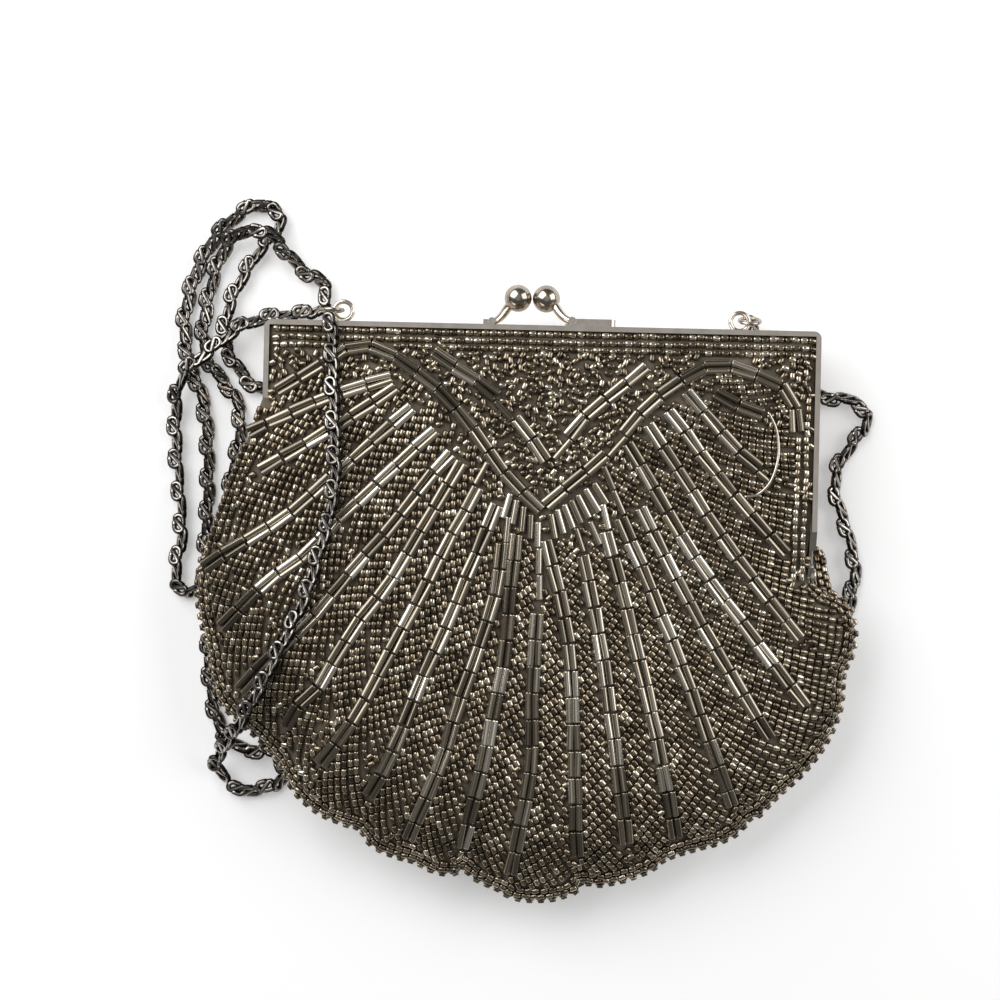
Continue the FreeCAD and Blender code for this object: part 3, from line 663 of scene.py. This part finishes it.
def front_height(flat):
    gap, edge = edge_distance(flat, FRONT_LOOP)
    t = np.clip(gap / FRONT_SHOULDER, 0, 1)
    return edge + (FRONT_BELLY_Z - edge) * (1 - (1 - t) ** FRONT_ROUNDNESS)


def back_height(flat):
    gap, edge = edge_distance(flat, BACK_LOOP)
    t = np.clip(gap / BACK_SHOULDER, 0, 1)
    low = np.clip((BACK_STRAIGHT_Y - flat[:, 1]) / (BACK_STRAIGHT_Y - BACK_ROUND_Y), 0, 1)
    drop = t * (1 - low) + (1 - (1 - t) ** BACK_ROUNDNESS) * low
    return edge + (BACK_BELLY_Z - edge) * drop


def slope_up(flat, height, side):
    """The outward direction of a shell at points; side is 1 for the front and -1 for the back."""
    reach = 0.4
    east = (height(flat + [reach, 0]) - height(flat - [reach, 0])) / (2 * reach)
    north = (height(flat + [0, reach]) - height(flat - [0, reach])) / (2 * reach)
    return unit(np.stack([-east, -north, np.ones(len(flat))], 1)) * side


# %% [markdown]
# ## Cloth and lining
# Under the beads is a closely woven taupe cloth, and inside it a loose satin lining. Both are
# closed shells laid out like a spider's web from the middle of the pouch to its edge.

# %% cloth shells
WEB_MIDDLE = np.array([2.0, -2.0])
WEB_RINGS = 44
WEB_HOLE = 0.02
WEB_CROWDING = 1.25
CLOTH_THICKNESS = 0.9
CLOTH_REACH = 0.995
LINING_NEAR = 1.1
LINING_FAR = 1.5
LINING_REACH = 0.965


def shell(name, loop, height, near, far, reach):
    """A closed sheet between two depths under a height, from the middle to near the edge."""
    count = len(loop)
    share = 1 - (1 - np.linspace(WEB_HOLE, 1, WEB_RINGS)) ** WEB_CROWDING
    outline = WEB_MIDDLE + (loop[:, :2] - WEB_MIDDLE) * reach
    flat = (WEB_MIDDLE + share[:, None, None] * (outline - WEB_MIDDLE)).reshape(-1, 2)
    z = height(flat)
    top = np.column_stack([flat, z + near])
    low = np.column_stack([flat, z + far])
    size = len(flat)
    rim = (WEB_RINGS - 1) * count
    around = [(j, (j + 1) % count) for j in range(count)]
    web = [(k + j, k + n, k + count + n, k + count + j) for k in range(0, rim, count) for j, n in around]
    faces = [face[::-1] for face in web] + [tuple(size + i for i in face) for face in web]
    faces += [(size + rim + j, size + rim + n, rim + n, rim + j) for j, n in around]
    faces += [tuple(range(count)), tuple(size + j for j in reversed(range(count)))]
    mesh = bpy.data.meshes.new(name)
    mesh.from_pydata((np.concatenate([top, low]) * MM).tolist(), [], faces)
    mesh.polygons.foreach_set("use_smooth", np.ones(len(faces), bool))
    mesh.update()
    piece = bpy.data.objects.new(name, mesh)
    scene.collection.objects.link(piece)
    print(name, len(faces), "faces")
    return piece


def cloth_finish(name, dark, light, weave_scale, roughness, sheen):
    material = finish(name, Sheen_Weight=sheen)
    mottle = add_effect(material, MOTTLE, 120.0)
    weave = add_effect(material, WEAVE, weave_scale)
    feed(material, Base_Color=colours(material, mottle, (0.0, dark), (1.0, light)),
         Roughness=between(material, mottle, roughness - 0.08, roughness + 0.08),
         Normal=raised(material, weave, 0.5, 0.0003))
    return material


def sew_to_front(piece):
    """Applies the transform of a piece of the front to its mesh."""
    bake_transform(piece)


CLOTH = cloth_finish("taupe_cloth", (0.13, 0.104, 0.074), (0.21, 0.172, 0.126),
                     weave_scale=1300.0, roughness=0.8, sheen=0.05)
SATIN = cloth_finish("lining_satin", (0.16, 0.14, 0.12), (0.24, 0.21, 0.18),
                     weave_scale=1900.0, roughness=0.42, sheen=0.35)
front_cloth = shell("front_cloth", FRONT_LOOP, front_height, 0.0, -CLOTH_THICKNESS, CLOTH_REACH)
back_cloth = shell("back_cloth", BACK_LOOP, back_height, CLOTH_THICKNESS, 0.0, CLOTH_REACH)
front_lining = shell("front_satin", FRONT_LOOP, front_height, -LINING_NEAR, -LINING_FAR, LINING_REACH)
back_lining = shell("back_satin", BACK_LOOP, back_height, LINING_FAR, LINING_NEAR, LINING_REACH)
for piece, material, slot in (
        (front_cloth, CLOTH, "beaded_cloth"), (back_cloth, CLOTH, "beaded_cloth"),
        (front_lining, SATIN, "lining_satin"), (back_lining, SATIN, "lining_satin")):
    piece.data.materials.append(material)
sew_to_front(front_cloth)
sew_to_front(front_lining)
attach(back_cloth, "back_half")
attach(back_lining, "back_half")
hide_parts("front_panel_upper", "front_panel_fold", "front_panel_lower")
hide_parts("back_panel")
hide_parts("front_lining_upper", "front_lining_lower")
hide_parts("back_lining")

# %% [markdown]
# ## Glass beads
# Two kinds of silver-lined glass are sewn on: long bugles, which are cut pieces of glass tube, and
# small round seed beads. The silver inside the hole makes them look like smoky metal under clear
# glass, so the finish is nearly metal with a clear coat, and each bead takes its own tone. The beads
# lie on the cloth by its height and slope.

# %% bead shapes and finishes
BUGLE_RADIUS = 1.0
BUGLE_LENGTH = 6.85
BUGLE_GAP = 0.3
SEED_RADIUS = 0.84
BUGLE_HALF = [(-0.44, 0.40), (-0.5, 0.50), (-0.5, 0.85), (-0.48, 1.0), (-0.455, 1.0)]
BUGLE = turned_shape(BUGLE_HALF + [(-x, r) for x, r in BUGLE_HALF[::-1]], 12)
SEED_HALF = [(-0.7, 0.26), (-1.0, 0.48), (-0.9, 0.74), (-0.6, 0.84)]
SEED = turned_shape(SEED_HALF + [(-x, r) for x, r in SEED_HALF[::-1]], 10)


def glass_finish(name, stops, line_scale, darkest_line, rough, silver):
    material = finish(name, Metallic=silver, Coat_Weight=0.5, Coat_Roughness=0.08)
    mottle = add_effect(material, MOTTLE, 900.0)
    streaks = add_effect(material, STREAKS, line_scale)
    body = colours(material, tone_of(material), *stops)
    lines = colours(material, streaks, (0.0, (darkest_line,) * 3), (1.0, (1.0,) * 3))
    feed(material, Base_Color=shaded(material, body, lines),
         Roughness=between(material, mottle, rough - 0.04, rough + 0.06))
    return material


SEED_GLASS = glass_finish(
    "smoky_seed_glass", [(0.0, (0.13, 0.10, 0.064)), (0.5, (0.36, 0.29, 0.20)), (1.0, (0.92, 0.84, 0.68))],
    line_scale=500.0, darkest_line=0.6, rough=0.09, silver=0.9)
BUGLE_GLASS = glass_finish(
    "silver_bugle_glass", [(0.0, (0.20, 0.166, 0.12)), (0.5, (0.43, 0.37, 0.28)), (1.0, (0.95, 0.89, 0.77))],
    line_scale=260.0, darkest_line=0.45, rough=0.07, silver=0.84)

# %% [markdown]
# ## Lines of the beadwork
# The pattern is measured in the photograph: a wide and a narrow V of bugles under the frame, and
# ribs of doubled bugles that fan out from below them to the scalloped edge.

# %% ribs and Vs, in pixels of the photograph
OUTER_V_PX = [
    [(540, 511), (510, 480), (493, 458), (470, 426), (440, 391), (415, 372), (398, 359),
     (365, 345), (345, 350), (318, 367), (300, 378)],
    [(545, 506), (575, 481), (602, 458), (618, 441), (640, 414), (655, 400), (674, 386), (692, 375),
     (711, 366), (735, 368), (758, 376), (780, 386), (793, 401), (797, 432)],
]
INNER_V_PX = [
    [(546, 461), (530, 437), (515, 418), (497, 398), (475, 380), (452, 366), (430, 350)],
    [(551, 457), (568, 438), (591, 412), (616, 393), (640, 374), (660, 356)],
]
RIBS_PX = [
    [(345, 352), (310, 372), (272, 394)],
    [(417, 370), (330, 397), (248, 433)],
    [(418, 373), (345, 421), (249, 477)],
    [(432, 390), (350, 462), (318, 490), (285, 518), (240, 545), (203, 569)],
    [(455, 412), (360, 500), (340, 517), (305, 556), (270, 580), (220, 629)],
    [(470, 434), (432, 475), (396, 522), (355, 567), (318, 612), (280, 648), (237, 694)],
    [(462, 463), (393, 577), (362, 618), (334, 662), (318, 688), (297, 707), (281, 736)],
    [(491, 464), (452, 536), (416, 605), (386, 660), (361, 708), (344, 733), (315, 773)],
    [(497, 505), (468, 575), (444, 633), (420, 684), (400, 735), (381, 775), (365, 802)],
    [(506, 490), (498, 580), (478, 650), (457, 710), (441, 762), (408, 840)],
    [(520, 508), (512, 575), (504, 657), (494, 710), (484, 760), (460, 857)],
    [(537, 613), (532, 700), (531, 765), (522, 818), (511, 875)],
    [(546, 540), (569, 652), (577, 856)],
    [(572, 503), (603, 660), (628, 855)],
    [(592, 480), (638, 655), (677, 838)],
    [(600, 468), (668, 632), (733, 806)],
    [(640, 508), (697, 618), (776, 750)],
    [(627, 443), (703, 570), (813, 718)],
    [(648, 425), (724, 541), (800, 640)],
    [(668, 411), (727, 488), (790, 560)],
    [(686, 392), (732, 445), (772, 480)],
    [(692, 379), (740, 407), (769, 417)],
]
FAN_PX = [
    [(550, 514), (555, 539)], [(557, 509), (564, 534)], [(564, 505), (573, 529)],
    [(571, 500), (581, 524)], [(578, 495), (590, 518)], [(586, 489), (599, 512)],
    [(594, 483), (608, 505)], [(531, 514), (530, 540)], [(524, 507), (521, 532)],
    [(517, 500), (512, 525)], [(510, 493), (503, 518)], [(538, 522), (540, 600)],
    [(575, 528), (584, 552)], [(590, 522), (600, 545)],
]


def on_cloth(line_px, step):
    """A measured line as even points on the front, in millimetres."""
    return even_line([spot(px, py, FRONT_BELLY_Z) for px, py in line_px], step)


def sideways(line):
    """The direction to the right of a line's own direction, at each of its points."""
    ahead = unit(np.gradient(line, axis=0))
    return np.stack([ahead[:, 1], -ahead[:, 0]], 1)


# %% [markdown]
# ## Sewing the bugles
# Each rib has two bugles side by side, and the thread between one pair and the next leaves a dark
# gap. Where lines crowd together at the top, a bugle that would lie on another is left out, as the
# beader does.

# %% bugle rows
BUGLE_ROOM = 1.25
ROW_OVERHANG = 2.5
HAND_SHAKE = 0.11
TONE_SPREAD = 0.17
RIB_END_DIMMER = 0.3
luck = np.random.default_rng(11)
bugles = []
covered = []


def sew_bugle(head, foot, tone):
    """Adds a bugle between two flat points, unless another one lies there already."""
    spine = head + np.linspace(0.1, 0.9, 7)[:, None] * (foot - head)
    if covered:
        taken = np.concatenate(covered)
        if (np.linalg.norm(spine[:, None] - taken[None], axis=2) < BUGLE_ROOM).any():
            return
    bugles.append((head, foot, tone))
    covered.append(spine)


def sew_row(line_px, offsets, tone, last_dark=0):
    line = on_cloth(line_px, 0.5)
    run = run_along(line)
    pitch = BUGLE_LENGTH + BUGLE_GAP
    count = max(1, round(run[-1] / pitch))
    across = sideways(line)
    for k in range(count):
        ends = np.array([k * pitch, k * pitch + BUGLE_LENGTH])
        if ends[1] > run[-1] + ROW_OVERHANG:
            break
        at = at_distance(line, run, ends)
        aside = at_distance(across, run, ends)
        dim = RIB_END_DIMMER if k >= count - last_dark else 0.0
        pair = luck.normal(tone, TONE_SPREAD)
        for offset in offsets:
            head, foot = at + (aside * offset + luck.normal(0, HAND_SHAKE, (2, 2)))
            sew_bugle(head, foot, np.clip(pair + luck.normal(0, TONE_SPREAD) - dim, 0.02, 1))


PAIR = (-1.02, 1.02)
for line_px in OUTER_V_PX + INNER_V_PX:
    sew_row(line_px, PAIR, tone=0.40)
for line_px in FAN_PX:
    sew_row(line_px, (0.0,), tone=0.60)
for line_px in RIBS_PX:
    sew_row(line_px, PAIR, tone=0.50, last_dark=2)
print(len(bugles), "bugles on the front")

# %% [markdown]
# ## Sewing the seed beads
# The seeds are strung in short slanting rows that run from each rib down to the next one on its
# right. Straight strings follow the rail and the right leg, two close strings follow the scalloped
# edge, and the rest, inside the Vs and in the corners, is a scatter with beads in all directions.

# %% strings of seeds
SEED_PITCH = 2.15
STRING_PITCH = 1.85
SLANT = 30.0
STRING_BEND = 2.2
SEED_ROOM = 1.3
SEED_SHAKE = 0.08
SEED_TWIST = 0.06
SEED_SIGHT = 0.4
CELL_SIDE = 1.6
seeds = []
filled = {}


def cell_of(point):
    return math.floor(point[0] / CELL_SIDE), math.floor(point[1] / CELL_SIDE)


def clear_of(point, room):
    """True if no bead lies within room of a flat point."""
    i, j = cell_of(point)
    for a in (i - 1, i, i + 1):
        for b in (j - 1, j, j + 1):
            for other in filled.get((a, b), ()):
                if (other[0] - point[0]) ** 2 + (other[1] - point[1]) ** 2 < room * room:
                    return False
    return True


def fill_spot(point):
    filled.setdefault(cell_of(point), []).append((point[0], point[1]))


def sew_seed(point, ahead, tone, room):
    if clear_of(point, room):
        fill_spot(point)
        seeds.append((point, ahead, min(max(tone, 0.0), 1.0)))


def seed_places(line, start):
    """Even places for seeds along a line, and the way that the line goes there."""
    run = run_along(line)
    where = np.arange(start, run[-1], SEED_PITCH)
    at = at_distance(line, run, where)
    return at, at_distance(line, run, where + SEED_SIGHT) - at


def sew_string(line, tone, spread, room=SEED_ROOM):
    for point, direction in zip(*seed_places(line, 0.8)):
        shift = luck.normal(0, SEED_SHAKE, 2)
        twist = luck.normal(0, SEED_TWIST, 2)
        sew_seed(point + shift, direction + twist, luck.normal(tone, spread), room)


for head, foot, tone in bugles:
    for share in np.linspace(0.0, 1.0, 10):
        fill_spot(head + share * (foot - head))

EDGE_START = len(FRAME_TOP)
EDGE_INSETS = (0.7, 2.3)
RAIL_STRINGS_Y = (68.3, 66.2, 64.2)
RAIL_STRING_ENDS = (-68.0, 77.0)
LEG_STRINGS_PX = [[(809, 398), (806, 480), (802, 585)], [(800, 398), (797, 480), (793, 590)]]

# the edge runs clockwise, so the pouch lies to its right
edge_only = even_line(front_corners[EDGE_START + 1:], 1.0)[:, :2]
for inset in EDGE_INSETS:
    sew_string(edge_only + sideways(edge_only) * inset, tone=0.30, spread=0.2, room=1.2)
for y in RAIL_STRINGS_Y:
    sew_string(np.array([(x, y) for x in RAIL_STRING_ENDS]), tone=0.5, spread=0.26)
for line_px in LEG_STRINGS_PX:
    sew_string(on_cloth(line_px, 0.5), tone=0.75, spread=0.2, room=1.4)

# %% slanting strings between the ribs
RIB_SIDE = 2.6
PAST_RIB = 12.0
MEAN_SLANT = SLANT + 9.0
MOST_BEND = 20.0
LONGEST_STRING = 40
ABOVE_FIRST_RIB = (-8.0, -6.0)


def sew_slanting(line):
    """Strings that leave a rib on the side of the next one, and stop at the first bead they meet."""
    run = run_along(line)
    for where in np.arange(0, run[-1] + PAST_RIB, STRING_PITCH / math.sin(math.radians(MEAN_SLANT))):
        last = min(where, run[-1] - 0.6)
        here, there = at_distance(line, run, np.array([last, last + 0.5]))
        ahead = unit(there - here)
        aside = np.array([-ahead[1], ahead[0]])
        point = here + ahead * (where - last) + aside * RIB_SIDE
        for step in range(LONGEST_STRING):
            if step and not clear_of(point, SEED_ROOM):
                break
            turn = math.radians(SLANT + min(MOST_BEND, STRING_BEND * step))
            away = ahead * math.cos(turn) + aside * math.sin(turn)
            shift = luck.normal(0, SEED_SHAKE, 2)
            sew_seed(point + shift, away, luck.normal(0.38, 0.24), SEED_ROOM)
            point = point + away * SEED_PITCH


rib_lines = [on_cloth(line_px, 0.25) for line_px in RIBS_PX]
for line in [rib_lines[0] + ABOVE_FIRST_RIB] + rib_lines:
    sew_slanting(line)
print(len(seeds), "seeds in strings")

# %% scattered seeds
SCATTER_TRIES = 60000
SCATTER_X = (-92, 90)
SCATTER_Y = (-86, 70)
tries = np.column_stack([luck.uniform(*ends, SCATTER_TRIES) for ends in (SCATTER_X, SCATTER_Y)])
tries = tries[edge_distance(tries, FRONT_LOOP)[0] > SEED_ROOM]
for point in tries:
    heading = luck.uniform(0, math.pi)
    sew_seed(point, np.array([math.cos(heading), math.sin(heading)]), luck.normal(0.38, 0.26), room=1.5)
print(len(seeds), "seeds with the scatter")

# %% beads laid on a shell
LIP_LEFT_X = -68.5
LIP_RIGHT_X = 77.0
LIP_TOP_Y = 68.6
RIGHT_LEG_FREE_Y = 8.0
BUGLE_EDGE_ROOM = 1.2
SEED_EDGE_ROOM = 0.4
BUGLE_SEAT = 0.9
MOST_SAG = 1.5
SEEDS_IN_PIECE = 1500


def inside_frame(flat, leg_y):
    """True for points that clear the frame's lip; leg_y is where the left leg comes free."""
    x, y = flat[:, 0], flat[:, 1]
    return (y < LIP_TOP_Y) & ((x < LIP_RIGHT_X) | (y < RIGHT_LEG_FREE_Y)) & ((x > LIP_LEFT_X) | (y < leg_y))


def lay_bugles(name, loop, height, side, leg_y):
    ends = np.array([(head, foot) for head, foot, tone in bugles])
    tones = np.array([tone for head, foot, tone in bugles])
    keep = edge_distance(ends.mean(1), loop)[0] > BUGLE_EDGE_ROOM
    keep &= inside_frame(ends[:, 0], leg_y) & inside_frame(ends[:, 1], leg_y)
    ends, tones = ends[keep], tones[keep]
    middle = ends.mean(1)
    up = slope_up(middle, height, side)
    head = np.column_stack([ends[:, 0], height(ends[:, 0])])
    foot = np.column_stack([ends[:, 1], height(ends[:, 1])])
    centre = (head + foot) / 2
    sag = side * (height(middle) - centre[:, 2])
    centre += up * (BUGLE_RADIUS * BUGLE_SEAT + np.clip(sag, 0, MOST_SAG))[:, None]
    size = np.ones((len(ends), 3))
    size[:, 0] = np.linalg.norm(foot - head, axis=1)
    piece = copies(name, (BUGLE, centre, foot - head, up, tones, size))
    piece.data.materials.append(BUGLE_GLASS)
    return [piece]


def lay_seeds(name, loop, height, side, leg_y):
    flat = np.array([point for point, ahead, tone in seeds])
    keep = (edge_distance(flat, loop)[0] > SEED_EDGE_ROOM) & inside_frame(flat, leg_y)
    order = np.argsort(-flat[:, 1])
    order = order[keep[order]]
    flat = flat[order]
    ahead = unit(np.array([seeds[k][1] for k in order]))
    tones = np.array([seeds[k][2] for k in order])
    up = slope_up(flat, height, side)
    reach = height(flat + 0.5 * ahead) - height(flat - 0.5 * ahead)
    along = np.column_stack([ahead, reach])
    lift = SEED_RADIUS * luck.uniform(0.8, 1.0, len(flat))
    centre = np.column_stack([flat, height(flat)]) + up * lift[:, None]
    pieces = []
    for part, own in enumerate(np.array_split(np.arange(len(flat)), 1 + len(flat) // SEEDS_IN_PIECE)):
        size = np.ones((len(own), 3))
        piece = copies(f"{name}_{part + 1}", (SEED, centre[own], along[own], up[own], tones[own], size))
        piece.data.materials.append(SEED_GLASS)
        pieces.append(piece)
    return pieces


FRONT_LEG_FREE_Y = 47.0
BACK_LEG_FREE_Y = 18.0
for lay, beads in ((lay_bugles, "bugles"), (lay_seeds, "seeds")):
    for piece in lay("front_" + beads, FRONT_LOOP, front_height, 1, FRONT_LEG_FREE_Y):
        sew_to_front(piece)
    for piece in lay("back_" + beads, BACK_LOOP, back_height, -1, BACK_LEG_FREE_Y):
        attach(piece, "back_half")

# %% [markdown]
# ## Corner of the back
# At the right hinge the back's cloth folds forward round the end of the frame's leg, so a little of
# its beaded side shows from the front. Its seeds lie on the upper side of the back's shell, in a few
# short strings that follow the fold.

# %% seeds on the folded corner
CORNER_INSETS = (0.8, 2.4, 4.0, 5.6, 7.2)
LEG_SIDE_X = 79.25
corner_luck = np.random.default_rng(21)


def folded_corner():
    outline = even_line(BACK_RIGHT[1:], 0.5)[:, :2]
    inward = sideways(outline)
    rows = [np.column_stack(seed_places(outline + inward * inset, 0.3)) for inset in CORNER_INSETS]
    flat, ahead = np.hsplit(np.concatenate(rows), 2)
    keep = (flat[:, 0] > LEG_SIDE_X + SEED_RADIUS) & (np.linalg.norm(ahead, axis=1) > 0.1)
    keep &= edge_distance(flat, BACK_LOOP)[0] > SEED_EDGE_ROOM
    keep &= edge_distance(flat, FRONT_LOOP)[0] < 0.2
    flat, ahead = flat[keep], unit(ahead[keep])
    count = len(flat)
    up = slope_up(flat, back_height, 1)
    reach = back_height(flat + 0.5 * ahead) - back_height(flat - 0.5 * ahead)
    centre = np.column_stack([flat, back_height(flat) + CLOTH_THICKNESS]) + up * SEED_RADIUS * 0.9
    tones = corner_luck.normal(0.45, 0.22, count).clip(0, 1)
    along = np.column_stack([ahead, reach])
    piece = copies("corner_seeds", (SEED, centre, along, up, tones, np.ones((count, 3))))
    piece.data.materials.append(SEED_GLASS)
    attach(piece, "back_half")


folded_corner()

# %% [markdown]
# ## Loose thread
# By the right leg a stitch has come undone, and a loop of clear thread stands off the beads there.
# It is a bent wire like a chain link, on a line that lifts from the cloth in its middle.

# %% a loose loop of clear thread
LOOSE_THREAD_PX = [(768, 412), (776, 430), (778, 455), (771, 480), (758, 494), (744, 497)]
THREAD_RADIUS = 0.42
THREAD_LIFT = 1.4
THREAD_ARCH = 0.9
THREAD_TONE = 0.8


def loose_thread():
    flat = on_cloth(LOOSE_THREAD_PX, 0.6)
    lift = THREAD_LIFT + THREAD_ARCH * np.sin(np.linspace(0.0, math.pi, len(flat)))
    line = np.column_stack([flat, front_height(flat) + lift])
    x_axis, z_axis = np.eye(3)[[0], :], np.eye(3)[[2], :]
    tone = np.array([THREAD_TONE])
    piece = copies("loose_thread", (
        bent_wire(line, THREAD_RADIUS, 6), np.zeros((1, 3)), x_axis, z_axis, tone, np.ones((1, 3))))
    piece.data.materials.append(BUGLE_GLASS)
    sew_to_front(piece)


loose_thread()

# %% [markdown]
# ## Picot edge
# A row of tiny loops of three seeds closes the seam between front and back all round the scallops.

# %% picots round the rim
PICOT_STEP = 3.0
PICOT_SEEDS = ((-0.85, 0.5), (0.0, 1.35), (0.85, 0.5))
PICOT_SIZE = 0.85


def picot_edge():
    line = even_line(front_corners[EDGE_START + 2:-4], PICOT_STEP)[:, :2]
    out = -sideways(line)
    ahead = np.stack([-out[:, 1], out[:, 0]], 1)
    flat = np.concatenate([line + out * reach + ahead * aside for aside, reach in PICOT_SEEDS])
    way = np.concatenate([ahead - out * np.sign(aside) for aside, reach in PICOT_SEEDS])
    count = len(flat)
    centre = np.column_stack([flat, RIM_Z + luck.normal(0, 0.25, count)])
    along = np.column_stack([way, luck.normal(0, 0.15, count)])
    upright = np.tile([0.0, 0.0, 1.0], (count, 1))
    tones = luck.normal(0.25, 0.2, count).clip(0, 1)
    piece = copies("picot_edge", (SEED, centre, along, upright, tones, np.full((count, 3), PICOT_SIZE)))
    piece.data.materials.append(SEED_GLASS)
    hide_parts("rim_beading")
    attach(piece, "back_half")


picot_edge()

# %% [markdown]
# ## Table and light
# A pale table and soft lamps, as in a product photograph taken by a window. The table glows a
# little, and fades to plain white away from the purse, so that the purse keeps its shadow and the
# picture has no horizon. The glow shows to the camera and in metal and glass, but lights no cloth.

# %% table, lamps and sky
TABLE_SIDE = 3.0
TABLE_GLOW = 0.32
FADE_START = 0.2
FADE_END = 0.9
SKY_LOW = 0.13
SKY_HIGH = 0.46
SKY_LOW_AT = 0.86
SKY_HIGH_AT = 0.97
WHITE = (1.0, 1.0, 1.0, 1.0)


def seen_as_white(tree, mirrored):
    """A value of 1 for what the camera sees, and for what metal and glass mirror if so asked."""
    path = add_node(tree, "LightPath")
    seen = path.outputs["Is Camera Ray"]
    for kind in ("Is Glossy Ray", "Is Transmission Ray") if mirrored else ():
        both = add_node(tree, "Math", "MAXIMUM")
        tree.links.new(seen, both.inputs[0])
        tree.links.new(path.outputs[kind], both.inputs[1])
        seen = both.outputs["Value"]
    return seen


def table_top():
    mesh = bpy.data.meshes.new("table")
    corners = [(x * TABLE_SIDE, y * TABLE_SIDE, 0) for x, y in ((-1, -1), (1, -1), (1, 1), (-1, 1))]
    mesh.from_pydata(corners, [], [(0, 1, 2, 3)])
    table = bpy.data.objects.new("table", mesh)
    scene.collection.objects.link(table)
    material = finish("white_table", Base_Color=(0.80, 0.80, 0.80, 1.0), Roughness=0.9,
                      Specular_IOR_Level=0.0, Emission_Color=WHITE)
    tree = material.node_tree
    reach = add_node(tree, "VectorMath", "LENGTH")
    fade = add_node(tree, "MapRange", From_Min=FADE_START, From_Max=FADE_END, To_Min=TABLE_GLOW, To_Max=1.0)
    glow = add_node(tree, "Math", "MULTIPLY")
    join(tree, (add_node(tree, "TexCoord"), "Object", reach, 0), (reach, "Value", fade, "Value"),
         (fade, "Result", glow, 0))
    tree.links.new(seen_as_white(tree, True), glow.inputs[1])
    feed(material, Emission_Strength=glow.outputs["Value"])
    table.data.materials.append(material)


def lamp(name, place, size, power):
    data = bpy.data.lights.new(name, "AREA")
    data.size = size
    data.energy = power
    light = bpy.data.objects.new(name, data)
    light.location = place
    light.rotation_euler = (Vector((0, 0, 0)) - Vector(place)).to_track_quat("-Z", "Y").to_euler()
    scene.collection.objects.link(light)


def sky():
    """A room that is bright overhead and dim towards the horizon, and plain white to the camera."""
    world = bpy.data.worlds.new("studio")
    scene.world = world
    world.use_nodes = True
    tree = world.node_tree
    split = add_node(tree, "SeparateXYZ")
    height = add_node(
        tree, "MapRange", From_Min=SKY_LOW_AT, From_Max=SKY_HIGH_AT, To_Min=SKY_LOW, To_Max=SKY_HIGH)
    strength = add_node(tree, "Mix", B=1.0)
    background = tree.nodes["Background"]
    set_inputs(background, {"Color": WHITE})
    join(tree, (add_node(tree, "TexCoord"), "Generated", split, "Vector"), (split, "Z", height, "Value"),
         (height, "Result", strength, "A"), (strength, "Result", background, "Strength"))
    tree.links.new(seen_as_white(tree, False), strength.inputs["Factor"])


table_top()
sky()
lamp("window", (-0.55, 0.50, 0.65), size=0.9, power=9.6)
lamp("far_window", (0.75, 0.30, 0.55), size=0.7, power=4.6)
scene.view_settings.view_transform = "Standard"
